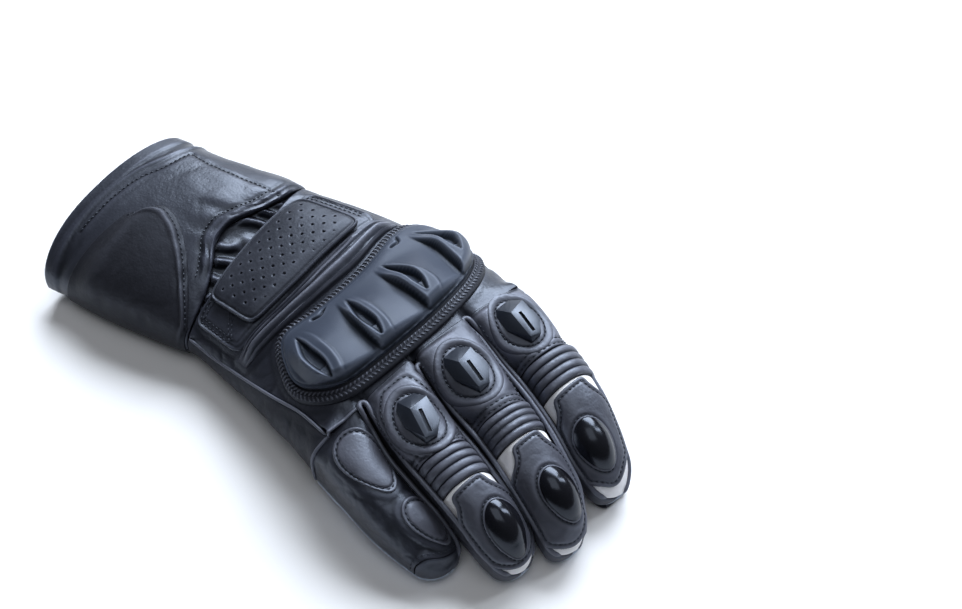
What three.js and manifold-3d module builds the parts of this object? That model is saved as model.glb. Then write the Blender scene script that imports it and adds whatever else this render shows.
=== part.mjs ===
// Right-hand leather motorcycle glove lying palm down, in millimetres, +Z up.
// +Y runs toward the fingertips, the thumb is on the -X side and the little finger on the +X side.
import * as THREE from "three";
import { mergeVertices } from "three/addons/utils/BufferGeometryUtils.js";
import { ConvexGeometry } from "three/addons/geometries/ConvexGeometry.js";
import Module from "manifold-3d";

const wasm = await Module();
wasm.setup();

// Driving dimensions
const WALL = 1.8; // leather with its lining
const GAP = 0.3; // clearance between neighbouring pieces
const SEAT = 0.8; // height over the smooth skin at which a sewn-on piece clears the skin's facets
const TRIM = 1.5; // thickness of a leather panel sewn on top of another
const CENTRE = { x: -0.9, y: -6.1 }; // middle of the glove's length and width in the tables' frame

// Sections of the sleeve that runs from the cuff opening to the knuckles. thumb and little are the
// section's two edge points [x, y, z]; crown and sole are the heights of its back and underside
// halfway between them; rest is the height at which the underside is pressed flat; tuck is how far
// the thumb that lies underneath pushes the palm up.
const SLEEVE = [
  { name: "cuff end", thumb: [-15, -151, 24], little: [80, -132, 11], crown: 38.5, sole: -2, rest: 2.6 },
  { name: "cuff middle", thumb: [-26, -122, 24], little: [70, -99, 11], crown: 41.5, sole: -2, rest: 2.6 },
  { name: "cuff front", thumb: [-39, -92, 25], little: [56, -65, 11], crown: 40, sole: -1, rest: 2.6 },
  { name: "wrist", thumb: [-43, -81, 25], little: [51, -53, 12], crown: 36, sole: 1, rest: 2.6 },
  { name: "heel", thumb: [-49, -66, 26], little: [49, -38, 12], crown: 39, sole: 5, rest: 7, tuck: 1 },
  { name: "palm", thumb: [-60, -38, 27], little: [48, -14, 14], crown: 42, sole: 7, rest: 7, tuck: 7 },
  { name: "hollow", thumb: [-68, -12, 26], little: [49, 4, 15], crown: 44, sole: 9, rest: 7, tuck: 10 },
  { name: "knuckles", thumb: [-73.5, 14, 27.5], little: [49, 20, 16], crown: 48, sole: 10, rest: 7, tuck: 8 },
  { name: "finger roots", thumb: [-73.5, 38, 30], little: [49, 38, 17], crown: 49.5, sole: 10, rest: 7 },
];
const SLEEVE_ROUND = 2.3; // superellipse exponent of its sections

// Sections of the fingers, root first: y, centre x, half width, and the heights of back and sole.
// round is the superellipse exponent, which squares the roots so that they fill the hand's end, and
// tilt is how much higher the little-finger side lies than the thumb side. tip is the last point,
// cap the length of the rounded end before it.
const FINGERS = {
  index: {
    rest: 2,
    cap: 9,
    tip: { x: -45.5, z: 8 },
    rows: [
      { y: 38.5, x: -57.3, half: 16, back: 46, sole: 14, round: 6, tilt: 6 },
      { y: 56, x: -57, half: 15.3, back: 45, sole: 10, round: 2.8, tilt: 1 },
      { y: 78, x: -56, half: 15.3, back: 41.5, sole: 4, round: 2.4, tilt: 0 },
      { y: 98, x: -53, half: 15, back: 36.5, sole: 0, round: 2.3, tilt: 0 },
      { y: 113, x: -49, half: 14.5, back: 29, sole: -1, round: 2.2, tilt: 0 },
      { y: 124, x: -46.5, half: 12.5, back: 21, sole: -1, round: 2.2, tilt: 0 },
    ],
  },
  middle: {
    rest: 0,
    cap: 9,
    tip: { x: -13, z: 8 },
    rows: [
      { y: 38.5, x: -25.2, half: 15.6, back: 49.5, sole: 10, round: 6, tilt: 0 },
      { y: 60, x: -23.5, half: 15.2, back: 47, sole: 7, round: 2.7, tilt: 0 },
      { y: 83, x: -22, half: 14.8, back: 43, sole: 3, round: 2.4, tilt: 0 },
      { y: 103, x: -19.5, half: 14.5, back: 37, sole: 0, round: 2.3, tilt: 0 },
      { y: 120, x: -16.5, half: 14, back: 29, sole: -2, round: 2.2, tilt: 0 },
      { y: 130, x: -13.5, half: 12.5, back: 21, sole: -2, round: 2.2, tilt: 0 },
    ],
  },
  ring: {
    rest: 0,
    cap: 9,
    tip: { x: 10, z: 8 },
    rows: [
      { y: 38.5, x: 5, half: 13.9, back: 45.5, sole: 9, round: 6, tilt: -6 },
      { y: 62, x: 8.4, half: 14, back: 43, sole: 5, round: 2.7, tilt: -1 },
      { y: 85, x: 9, half: 13.8, back: 39.5, sole: 2, round: 2.4, tilt: 0 },
      { y: 103, x: 9.3, half: 13.3, back: 34, sole: -1, round: 2.3, tilt: 0 },
      { y: 115, x: 9.8, half: 13, back: 27, sole: -2, round: 2.2, tilt: 0 },
      { y: 122, x: 10, half: 12, back: 21, sole: -2, round: 2.2, tilt: 0 },
    ],
  },
  little: {
    rest: 0,
    cap: 9,
    tip: { x: 32.6, z: 7 },
    rows: [
      { y: 38.5, x: 34.4, half: 14.4, back: 36, sole: 6, round: 5, tilt: -11 },
      { y: 58, x: 37, half: 13.2, back: 35, sole: 1, round: 2.6, tilt: -2 },
      { y: 76, x: 37.2, half: 13, back: 31, sole: -1, round: 2.4, tilt: 0 },
      { y: 90, x: 35.8, half: 12.4, back: 26, sole: -2, round: 2.3, tilt: 0 },
      { y: 101, x: 34, half: 11.4, back: 19, sole: -2, round: 2.2, tilt: 0 },
    ],
  },
  thumb: {
    rest: 0,
    cap: 9,
    tip: { x: -68, z: 8 },
    rows: [
      { y: -46, x: -46, half: 15, back: 30, sole: 5, round: 2.4, tilt: 0 },
      { y: -28, x: -58, half: 15.5, back: 25, sole: 1, round: 2.4, tilt: 0 },
      { y: -10, x: -67, half: 15, back: 22, sole: -2, round: 2.4, tilt: 0 },
      { y: 8, x: -70, half: 14, back: 21, sole: -2, round: 2.4, tilt: 0 },
      { y: 22, x: -70, half: 13, back: 19, sole: -2, round: 2.3, tilt: 0 },
    ],
  },
};

// Materials
const LOOKS = {
  black_leather: { color: 0x30303a, roughness: 0.5, metalness: 0 },
  grey_leather: { color: 0x9aa6b8, roughness: 0.6, metalness: 0 },
  white_leather: { color: 0xe4e4ea, roughness: 0.55, metalness: 0 },
  guard_plastic: { color: 0x596173, roughness: 0.45, metalness: 0 },
  gloss_plastic: { color: 0x0a0a0d, roughness: 0.08, metalness: 0 },
  elastic: { color: 0x121216, roughness: 0.85, metalness: 0 },
};

const glove = new THREE.Group();
glove.position.set(-CENTRE.x, -CENTRE.y, 0);

const radians = THREE.MathUtils.degToRad;
const mix = THREE.MathUtils.lerp;

// Smooth value of a column of numbers at a station that may lie between two rows.
function smooth(values, station) {
  const last = values.length - 1;
  const low = Math.min(Math.max(Math.floor(station), 0), last - 1);
  const f = station - low;
  const [a, b] = [values[low], values[low + 1]];
  const slopeA = low > 0 ? (b - values[low - 1]) / 2 : b - a;
  const slopeB = low + 2 <= last ? (values[low + 2] - a) / 2 : b - a;
  const f2 = f * f;
  const f3 = f2 * f;
  const slopes = (f3 - 2 * f2 + f) * slopeA + (f3 - f2) * slopeB;
  return (2 * f3 - 3 * f2 + 1) * a + (3 * f2 - 2 * f3) * b + slopes;
}

const signedPower = (value, power) => Math.sign(value) * Math.abs(value) ** power;

// A soft tube of superellipse sections. A place on it is a station (row number) and an angle in
// degrees: 0 on the little-finger side, 90 on the back, 180 on the thumb side, 270 underneath.
class Tube {
  constructor(rows, end = null) {
    this.rows = rows;
    this.end = end;
    this.columns = {};
    for (const key of Object.keys(rows[0])) {
      this.columns[key] = rows.map((row) => row[key]);
    }
  }

  // The section's values at a station. Past the last row the section shrinks to the tip.
  section(station) {
    const last = this.rows.length - 1;
    const onRows = Math.min(station, last);
    const row = {};
    for (const [key, values] of Object.entries(this.columns)) row[key] = smooth(values, onRows);
    if (station <= last || !this.end) return row;
    const turn = (Math.min(station - last, 1) * Math.PI) / 2;
    const shrink = Math.cos(turn);
    const forward = this.end.cap * Math.sin(turn);
    row.thumbX = mix(this.end.tip.x, row.thumbX, shrink);
    row.littleX = mix(this.end.tip.x, row.littleX, shrink);
    row.thumbY += forward;
    row.littleY += forward;
    for (const key of ["thumbZ", "littleZ", "crown", "sole"]) {
      row[key] = mix(this.end.tip.z, row[key], shrink);
    }
    return row;
  }

  skin(station, angle) {
    const row = this.section(station);
    const turn = radians(angle);
    const above = Math.sin(turn) >= 0;
    const power = 2 / row.round;
    const across = signedPower(Math.cos(turn), power);
    const lift = Math.abs(Math.sin(turn)) ** power;
    const middle = (row.thumbZ + row.littleZ) / 2;
    let z = middle + ((row.littleZ - row.thumbZ) / 2) * across;
    if (above) {
      z += (row.crown - middle) * lift;
    } else {
      z += (row.sole - middle + row.tuck * Math.exp(-(((across + 0.6) / 0.4) ** 2))) * lift;
    }
    return new THREE.Vector3(
      mix(row.thumbX, row.littleX, (across + 1) / 2),
      mix(row.thumbY, row.littleY, (across + 1) / 2),
      z,
    );
  }

  // The outward direction at a place.
  normal(station, angle) {
    const step = 0.02;
    const most = this.rows.length - 1 + (this.end ? 0.97 : 0);
    const at = Math.min(station, most);
    const along = this.skin(Math.min(at + step, most), angle).sub(this.skin(at - step, angle));
    const round = this.skin(at, angle + 1).sub(this.skin(at, angle - 1));
    return along.cross(round).normalize();
  }

  // The point that stands off the skin by a distance, kept flat where the glove rests and off the table.
  point(station, angle, off = 0) {
    const place = this.skin(station, angle).addScaledVector(this.normal(station, angle), off);
    const rest = this.section(station).rest - off;
    place.z = Math.max(place.z, rest, 0);
    return place;
  }

  // The station and angle on the back that lie under a point of the plan.
  locate(x, y) {
    const last = this.rows.length - 1;
    let [low, high] = [0, last + (this.end ? 0.9 : 0)];
    let across = 0;
    for (let turn = 0; turn < 30; turn++) {
      const station = (low + high) / 2;
      const row = this.section(station);
      const share = THREE.MathUtils.clamp((x - row.thumbX) / (row.littleX - row.thumbX), 0, 1);
      across = share * 2 - 1;
      if (mix(row.thumbY, row.littleY, share) < y) low = station;
      else high = station;
    }
    const cosine = signedPower(across, this.section(low).round / 2);
    return { station: low, angle: THREE.MathUtils.radToDeg(Math.acos(cosine)) };
  }

  // The point of the back over a point of the plan, standing off by a distance.
  over(x, y, off = 0) {
    const { station, angle } = this.locate(x, y);
    return this.point(station, angle, off);
  }
}

const edgeRow = (row) => ({
  thumbX: row.thumb[0],
  thumbY: row.thumb[1],
  thumbZ: row.thumb[2],
  littleX: row.little[0],
  littleY: row.little[1],
  littleZ: row.little[2],
  crown: row.crown,
  sole: row.sole,
  rest: row.rest,
  round: SLEEVE_ROUND,
  tuck: row.tuck ?? 0,
});

const fingerRow = (row, rest) => ({
  thumbX: row.x - row.half,
  thumbY: row.y,
  thumbZ: (row.back + row.sole - row.tilt) / 2,
  littleX: row.x + row.half,
  littleY: row.y,
  littleZ: (row.back + row.sole + row.tilt) / 2,
  crown: row.back,
  sole: row.sole,
  rest,
  round: row.round,
  tuck: 0,
});

const sleeve = new Tube(SLEEVE.map(edgeRow));
const finger = {};
for (const [name, { rows, rest, tip, cap }] of Object.entries(FINGERS)) {
  finger[name] = new Tube(rows.map((row) => fingerRow(row, rest)), { tip, cap });
}

// A geometry from positions and triangles, with shared vertices merged and faces turned outward.
function solidGeometry(positions, triangles) {
  const raw = new THREE.BufferGeometry();
  raw.setAttribute("position", new THREE.Float32BufferAttribute(positions, 3));
  raw.setIndex(triangles);
  const merged = mergeVertices(raw, 1e-3);
  const kept = [];
  const index = merged.index.array;
  for (let i = 0; i < index.length; i += 3) {
    const [a, b, c] = [index[i], index[i + 1], index[i + 2]];
    if (a !== b && b !== c && c !== a) kept.push(a, b, c);
  }
  const p = merged.attributes.position;
  const corner = (i) => new THREE.Vector3().fromBufferAttribute(p, i);
  let volume = 0;
  for (let i = 0; i < kept.length; i += 3) {
    volume += corner(kept[i]).dot(corner(kept[i + 1]).cross(corner(kept[i + 2])));
  }
  if (volume < 0) kept.reverse();
  merged.setIndex(kept);
  return merged;
}

// A closed solid between an outer and an inner grid of points. place(u, v, outer) gives a point for
// u and v from 0 to 1. A ring joins its last column to its first.
function sheet(rows, columns, place, ring = false) {
  const positions = [];
  const triangles = [];
  const wide = columns + 1;
  const layer = (rows + 1) * wide;
  for (const outer of [true, false]) {
    for (let i = 0; i <= rows; i++) {
      for (let j = 0; j <= columns; j++) {
        const v = ring ? (j % columns) / columns : j / columns;
        positions.push(...place(i / rows, v, outer).toArray());
      }
    }
  }
  const quad = (a, b, c, d) => triangles.push(a, b, c, a, c, d);
  for (let i = 0; i < rows; i++) {
    for (let j = 0; j < columns; j++) {
      const a = i * wide + j;
      quad(a, a + 1, a + wide + 1, a + wide);
      quad(layer + a, layer + a + wide, layer + a + wide + 1, layer + a + 1);
    }
  }
  for (let j = 0; j < columns; j++) {
    quad(j, layer + j, layer + j + 1, j + 1);
    const a = rows * wide + j;
    quad(a, a + 1, layer + a + 1, layer + a);
  }
  for (let i = 0; i < rows && !ring; i++) {
    const a = i * wide;
    quad(a, a + wide, layer + a + wide, layer + a);
    const b = a + columns;
    quad(b, layer + b, layer + b + wide, b + wide);
  }
  return solidGeometry(positions, triangles);
}

const toSolid = (geometry) => {
  const plain = new THREE.BufferGeometry();
  plain.setAttribute("position", geometry.getAttribute("position"));
  if (geometry.index) plain.setIndex(geometry.index);
  const merged = mergeVertices(plain, 1e-3);
  return new wasm.Manifold(
    new wasm.Mesh({
      numProp: 3,
      vertProperties: merged.attributes.position.array,
      triVerts: new Uint32Array(merged.index.array),
    }),
  );
};

const toGeometry = (solid) => {
  const mesh = solid.getMesh();
  const geometry = new THREE.BufferGeometry();
  geometry.setAttribute("position", new THREE.Float32BufferAttribute(mesh.vertProperties, 3));
  geometry.setIndex(new THREE.Uint32BufferAttribute(mesh.triVerts, 1));
  return geometry;
};

function add(name, geometry, look) {
  const mesh = new THREE.Mesh(geometry, new THREE.MeshStandardMaterial(LOOKS[look]));
  mesh.name = name;
  glove.add(mesh);
}

// A piece of a tube's wall between two stations and two angles, which may be functions of v or u.
// crowd draws the rows closer together toward a fingertip. spread gives the share of the way from
// start to stop at v, where the columns aren't even.
function wallPiece(tube, rows, columns, region) {
  const { from, to, start, stop, outer = 0, inner = -WALL } = region;
  const { ring = false, crowd = false, spread = (v) => v } = region;
  const read = (value, at) => (typeof value === "function" ? value(at) : value);
  const place = (u, v, outside) => {
    const share = crowd ? Math.sin((u * Math.PI) / 2) : u;
    const station = mix(read(from, v), read(to, v), share);
    const angle = mix(read(start, u), read(stop, u), spread(v));
    return tube.point(station, angle, outside ? read(outer, { u, v }) : inner);
  };
  return sheet(rows, columns, place, ring);
}

// A solid that fills a tube to a distance off its skin.
function plug(tube, rows, columns, from, to, off) {
  const place = (u, v, outside) => {
    const station = mix(from, to, Math.sin((u * Math.PI) / 2));
    if (outside) return tube.point(station, v * 360, off);
    return tube.skin(station, 0).add(tube.skin(station, 180)).multiplyScalar(0.5);
  };
  return toSolid(sheet(rows, columns, place, true));
}

// Value of a short table at a share from 0 to 1 of its length.
const along = (values, share) => smooth(values, share * (values.length - 1));
const bump = (value, centre, width) => Math.exp(-(((value - centre) / width) ** 2));
const ease = (x) => THREE.MathUtils.smoothstep(x, 0, 1);

// Thickness of a padded patch that swells from its edge to its full height.
const puff = ({ edge, height, steep }, { u, v }) =>
  mix(edge, height, Math.min(1, steep * Math.min(u, 1 - u, v, 1 - v)));

// Stations of the sleeve's cross seams
const CUFF_SEAM = 2.8;
const HEEL_SEAM = 4.6;
const KNUCKLE_SEAM = 8;
const SEAM = 0.02; // half of a cross seam's gap, in stations

// Angles of the sleeve's lengthwise seams
const THUMB_SIDE = 184;
const PALM_EDGE = -36;
const SIDE_GAP = 2;
const OUTER_SEAM = [17, 15, 21, 29, 34, 36]; // from the wrist to the little finger's root

// Gauntlet. The back's front edge is cut in a curve that shows the elastic gather.
const CUFF = { start: -4, stop: THUMB_SIDE };
const cuffAngle = (v) => mix(CUFF.start, CUFF.stop, v);
const cuffFront = (angle) => CUFF_SEAM - 0.88 * bump(angle, 91, 25);
const cuffEnd = (angle) => -0.17 * bump(angle, 80, 55);
add(
  "cuff_back",
  wallPiece(sleeve, 6, 12, {
    ...CUFF,
    from: (v) => cuffEnd(cuffAngle(v)),
    to: (v) => cuffFront(cuffAngle(v)),
  }),
  "black_leather",
);
add(
  "cuff_palm",
  wallPiece(sleeve, 5, 10, {
    from: 0,
    to: CUFF_SEAM,
    start: THUMB_SIDE + SIDE_GAP,
    stop: 360 + CUFF.start - SIDE_GAP,
  }),
  "black_leather",
);

// Closure flap: a puffy pad that wraps the little-finger side and rises to a rounded corner. tops
// are the angles of its upper edge at even steps of station.
const FLAP = {
  from: -0.06,
  to: 2.7,
  start: -18,
  tops: [60, 82, 92, 84, 60, 41, 25],
  edge: 0.9,
  height: 2.6,
  steep: 6,
};
add(
  "cuff_flap",
  wallPiece(sleeve, 8, 7, {
    from: FLAP.from,
    to: FLAP.to,
    start: FLAP.start,
    stop: (u) => along(FLAP.tops, u),
    outer: (at) => SEAT + puff(FLAP, at),
    inner: SEAT,
  }),
  "black_leather",
);

// Strap with a rounded nose under the cuff, pressed flat on the table.
const STRAP = { from: 0.35, to: 1.75, nose: [1, 1.1], round: 0.12, start: 222, stop: 322, under: 2.6 };
add(
  "cuff_strap",
  wallPiece(sleeve, 5, 8, {
    from: (v) => mix(STRAP.from, STRAP.nose[0], bump(v, 0, STRAP.round)),
    to: (v) => mix(STRAP.to, STRAP.nose[1], bump(v, 0, STRAP.round)),
    start: STRAP.start,
    stop: STRAP.stop,
    outer: STRAP.under,
    inner: SEAT,
  }),
  "grey_leather",
);

// Elastic gather: a shirred band sewn under the edges of the cuff and the hand.
const GATHER = { from: 1.8, to: 3.3, puckers: 12, depth: 0.9, band: 1 };
const GATHER_TOP = -WALL - SEAT - GAP;
const pucker = (v) => GATHER.depth * (0.5 - 0.5 * Math.cos(v * GATHER.puckers * 2 * Math.PI));
add(
  "wrist_gather",
  wallPiece(sleeve, 4, 2 * GATHER.puckers, {
    from: GATHER.from,
    to: GATHER.to,
    start: 0,
    stop: 360,
    ring: true,
    outer: ({ v }) => GATHER_TOP - pucker(v),
    inner: GATHER_TOP - GATHER.depth - GATHER.band,
  }),
  "elastic",
);

// Hand: the back, the outer side strip under the little-finger seam, the palm and its heel.
const HAND_START = CUFF_SEAM + 2 * SEAM;
const outerSeam = (u) => along(OUTER_SEAM, u);
const handRear = (angle) => HAND_START + 0.14 * bump(angle, 95, 32);
add(
  "hand_back",
  wallPiece(sleeve, 8, 11, {
    from: (v) => handRear(mix(OUTER_SEAM[0], THUMB_SIDE, v)),
    to: KNUCKLE_SEAM,
    start: outerSeam,
    stop: THUMB_SIDE,
  }),
  "black_leather",
);
add(
  "outer_side",
  wallPiece(sleeve, 8, 4, {
    from: HAND_START,
    to: KNUCKLE_SEAM,
    start: PALM_EDGE,
    stop: (u) => outerSeam(u) - SIDE_GAP,
  }),
  "black_leather",
);
const PALM = { start: THUMB_SIDE + SIDE_GAP, stop: 360 + PALM_EDGE - SIDE_GAP };
const heel = wallPiece(sleeve, 4, 10, { ...PALM, from: HAND_START, to: HEEL_SEAM - SEAM });
const palm = wallPiece(sleeve, 8, 10, { ...PALM, from: HEEL_SEAM + SEAM, to: KNUCKLE_SEAM - SEAM });
const thumbHollow = plug(finger.thumb, 10, 12, 0, finger.thumb.rows.length, -WALL);
add("heel_panel", toGeometry(toSolid(heel).subtract(thumbHollow)), "black_leather");
add("hand_palm", toGeometry(toSolid(palm).subtract(thumbHollow)), "grey_leather");

// Palm slider: a faceted puffy pad on the heel panel, with its four corners cut off.
const SLIDER = { from: 3.35, to: 4.35, corner: 0.25, start: 238, stop: 290, edge: 1.2, height: 4.6, steep: 4 };
add(
  "palm_slider",
  wallPiece(sleeve, 4, 4, {
    from: (v) => SLIDER.from + SLIDER.corner * Math.abs(2 * v - 1),
    to: (v) => SLIDER.to - SLIDER.corner * Math.abs(2 * v - 1),
    start: SLIDER.start,
    stop: SLIDER.stop,
    outer: (at) => SEAT + puff(SLIDER, at),
    inner: SEAT,
  }),
  "black_leather",
);

// A flat panel sewn on a tube, with its rear and front edges given at even steps of angle.
function sewnPanel(name, rows, columns, { start, stop, rear, front }, layers, look = "black_leather") {
  const region = { start, stop, ...layers };
  const edges = { from: (v) => along(rear, v), to: (v) => along(front, v) };
  add(name, wallPiece(sleeve, rows, columns, { ...region, ...edges }), look);
}

// Grip patch: runs across the palm from its outer edge to the root of the index finger.
const SEWN_ON = { outer: SEAT + TRIM, inner: SEAT };
const GRIP = {
  start: 236,
  stop: 312,
  rear: [5.5, 5.6, 5.4, 5.1, 4.9, 4.85],
  front: [7.5, 6.9, 6.4, 6.0, 5.75, 5.6],
};
sewnPanel("grip_patch", 4, 8, GRIP, SEWN_ON);

// Back of the hand, layer on layer: base panel, perforated pad, leather roll, border, hard guard.
const PAD_BASE = {
  start: 34,
  stop: 143,
  rear: [2.92, 2.95, 3.02, 3.1, 3.35, 3.5],
  front: [4.58, 4.66, 4.8, 4.88, 4.92, 5.0],
};
sewnPanel("back_pad_base", 5, 9, PAD_BASE, SEWN_ON);

const SECOND_SEAT = SEAT + TRIM + SEAT; // seat of what is sewn on a sewn-on panel
const PAD = {
  start: 55,
  stop: 130,
  rear: [3.15, 2.95, 3.0, 3.1, 3.25, 3.5],
  front: [4.58, 4.68, 4.77, 4.83, 4.87, 4.89],
  edge: 1.2,
  height: 3,
  steep: 8,
};
sewnPanel("back_pad", 6, 8, PAD, { outer: (at) => SECOND_SEAT + puff(PAD, at), inner: SECOND_SEAT });

const ROLL = {
  start: 30,
  stop: 146,
  rear: [4.68, 4.73, 4.89, 4.97, 5.01, 5.1],
  front: [4.86, 5.02, 5.24, 5.42, 5.34, 5.3],
  edge: 0.9,
  height: 3.2,
};
const rollHeight = ({ u }) => SEAT + mix(ROLL.edge, ROLL.height, Math.sin(Math.PI * u));
sewnPanel("guard_roll", 4, 12, ROLL, { outer: rollHeight, inner: SEAT });

// The guard's outline. edge and web are its thickness at the rim and between the fins.
const GUARD = {
  start: 45,
  stop: 174,
  rear: [6.35, 5.3, 5.48, 5.65, 5.73, 5.68, 5.58, 5.53, 5.55, 5.66, 5.9],
  front: [6.75, 7.42, 7.58, 7.62, 7.62, 7.54, 7.42, 7.22, 6.95, 6.58, 6.15],
  edge: 2,
  web: 3,
  side: 8, // degrees over which its two ends thin out
};
const atAngle = (table, { start, stop }, angle) =>
  along(table, THREE.MathUtils.clamp((angle - start) / (stop - start), 0, 1));

// Stitched border: follows the guard's outline a little further out.
const BORDER = {
  start: 35,
  stop: 179,
  rear: [6.05, 5.24, 5.16, 5.36, 5.52, 5.55, 5.5, 5.43, 5.38, 5.4, 5.5, 5.8],
  front: [6.65, 7.5, 7.82, 7.88, 7.9, 7.9, 7.82, 7.68, 7.44, 7.14, 6.76, 6.25],
};
sewnPanel("guard_border", 5, 16, BORDER, SEWN_ON);

// Four fins run from the guard's rear edge to its front. Each rises steeply at its crease, on the
// little-finger side, is level up to its rim and slopes down to the next crease, and has a
// leaf-shaped vent. Creases, rims and the vents' angles are in degrees round the hand.
const FINS = [
  { crease: GUARD.start, rim: 66, height: 4, vent: { station: 6.46, angle: 58, length: 27, width: 7 } },
  { crease: 79.5, rim: 91, height: 4.8, vent: { station: 6.62, angle: 86, length: 28, width: 7.5 } },
  { crease: 100.5, rim: 115, height: 4.6, vent: { station: 6.52, angle: 108.5, length: 27, width: 8 } },
  { crease: 131, rim: 160, height: 3.2, vent: { station: 6.3, angle: 146, length: 24, width: 8.5 } },
];
const STEEP = 2.5; // degrees that a fin's steep side takes
const VENT_FLOOR = 3.7; // height of a vent's floor over the leather
const VENT_CUT = 12; // height of its cutter, more than any fin's
const nextCrease = (number) => FINS[number + 1]?.crease ?? GUARD.stop;
const guardAngles = FINS.flatMap(({ crease, rim }, number) => {
  const top = crease + STEEP;
  const next = nextCrease(number);
  return [crease, top, mix(top, rim, 0.5), rim, mix(rim, next, 0.5)];
}).concat(GUARD.stop);
const guardColumns = guardAngles.length - 1;
const guardAngle = (v) => guardAngles[Math.round(v * guardColumns)];

function guardHeight({ u, v }) {
  const angle = guardAngle(v);
  const side = Math.min(angle - GUARD.start, GUARD.stop - angle) / GUARD.side;
  const rim = ease(Math.min(6 * u, 6 - 6 * u, side));
  const number = Math.max(0, FINS.findLastIndex(({ crease }) => angle >= crease));
  const fin = FINS[number];
  const next = nextCrease(number);
  const rise = Math.min(1, (angle - fin.crease) / STEEP, (next - angle) / (next - fin.rim));
  return SECOND_SEAT + GUARD.edge + (GUARD.web - GUARD.edge + fin.height * rise * ease(1.5 * u)) * rim;
}

// A leaf outline, pointed at the rear and round at the front, extruded upward.
function leafCutter(length, width, depth) {
  const leaf = new THREE.Shape();
  leaf.moveTo(0, -length / 2);
  leaf.quadraticCurveTo(width * 0.62, -length * 0.05, width / 2, length * 0.25);
  leaf.quadraticCurveTo(width * 0.3, length / 2, 0, length / 2);
  leaf.quadraticCurveTo(-width * 0.3, length / 2, -width / 2, length * 0.25);
  leaf.quadraticCurveTo(-width * 0.62, -length * 0.05, 0, -length / 2);
  return new THREE.ExtrudeGeometry(leaf, { depth, bevelEnabled: false, curveSegments: 3 });
}

// Moves a geometry drawn flat, +Y forward and +Z up, onto a tube's back.
function onTube(tube, station, angle, off, geometry) {
  const up = tube.normal(station, angle);
  const ahead = tube.skin(station + 0.05, angle).sub(tube.skin(station - 0.05, angle));
  const right = ahead.cross(up).normalize();
  const forward = up.clone().cross(right);
  const place = new THREE.Matrix4().makeBasis(right, forward, up);
  place.setPosition(tube.point(station, angle, off));
  return geometry.applyMatrix4(place);
}

const guardBlank = wallPiece(sleeve, 8, guardColumns, {
  from: (v) => atAngle(GUARD.rear, GUARD, guardAngle(v)),
  to: (v) => atAngle(GUARD.front, GUARD, guardAngle(v)),
  start: GUARD.start,
  stop: GUARD.stop,
  spread: (v) => (guardAngle(v) - GUARD.start) / (GUARD.stop - GUARD.start),
  outer: guardHeight,
  inner: SECOND_SEAT,
});
let guard = toSolid(guardBlank);
for (const { vent } of FINS) {
  const cutter = leafCutter(vent.length, vent.width, VENT_CUT);
  guard = guard.subtract(toSolid(onTube(sleeve, vent.station, vent.angle, VENT_FLOOR, cutter)));
}
add("knuckle_guard", toGeometry(guard), "guard_plastic");

// Seams round each finger: angles of the back, the palm and the side strips between them.
const BACK_PART = [28, 152];
const PALM_PART = [217, 323];
const LITTLE_SIDE = [-35, 23];
const THUMBWARD_SIDE = [157, 215];
const OUTLINES = {
  index: { back: [28, 186], palm: [188, 323], sides: { fourchette: LITTLE_SIDE } },
  middle: {
    back: BACK_PART,
    palm: PALM_PART,
    sides: { fourchette_by_ring: LITTLE_SIDE, fourchette_by_index: THUMBWARD_SIDE },
  },
  ring: {
    back: BACK_PART,
    palm: PALM_PART,
    sides: { fourchette_by_little: LITTLE_SIDE, fourchette_by_middle: THUMBWARD_SIDE },
  },
  little: { back: [-8, 152], palm: [217, 350], sides: { fourchette: THUMBWARD_SIDE } },
  thumb: { back: [-6, 184], palm: [186, 352], sides: {} },
};

// Raised ribs between the two joints of a finger, fading toward its side seams.
const RIBS = {
  count: 5,
  height: 1.9,
  fade: 5,
  stations: { index: [1.8, 2.5], middle: [1.95, 2.5], ring: [1.7, 2.38] },
};
function ribHeight({ u, v }) {
  const fade = Math.min(1, RIBS.fade * Math.min(v, 1 - v));
  return RIBS.height * fade * Math.abs(Math.sin(u * RIBS.count * Math.PI));
}
const TIP_SEAMS = { little: 3.95, thumb: 3.8 };
const TIP_HOLE = 0.12; // the palm and side strips end this many stations short of the tip
const COLUMN = 26; // degrees round a finger that one column of faces spans
const handPlug = plug(sleeve, 12, 24, 2, KNUCKLE_SEAM, SEAT);
for (const [name, { back, palm: under, sides }] of Object.entries(OUTLINES)) {
  const tube = finger[name];
  const end = tube.rows.length;
  const ribs = RIBS.stations[name];
  const [backEnd, tipStart] = ribs ?? [TIP_SEAMS[name], TIP_SEAMS[name]];
  const tipLook = ribs ? "white_leather" : "black_leather";
  const whole = { from: 0, to: end - TIP_HOLE, crowd: true };
  const pieces = [
    { piece: "back", look: "black_leather", rows: 4, angles: back, from: 0, to: backEnd - SEAM },
    { piece: "tip", look: tipLook, rows: 6, angles: back, from: tipStart + SEAM, to: end, crowd: true },
    { piece: "palm", look: "grey_leather", rows: 8, angles: under, ...whole },
  ];
  if (ribs) {
    const [from, to] = ribs;
    const rows = 2 * RIBS.count;
    pieces.push({ piece: "ribs", look: "black_leather", rows, angles: back, from, to, outer: ribHeight });
  }
  for (const [piece, angles] of Object.entries(sides)) {
    pieces.push({ piece, look: "black_leather", rows: 8, angles, ...whole });
  }
  for (const { piece, look, rows, angles, ...region } of pieces) {
    const [start, stop] = angles;
    const columns = Math.max(2, Math.round((stop - start) / COLUMN));
    let geometry = wallPiece(tube, rows, columns, { start, stop, ...region });
    if (name === "thumb") geometry = toGeometry(toSolid(geometry).subtract(handPlug));
    add(`${name}_${piece}`, geometry, look);
  }
}

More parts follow.
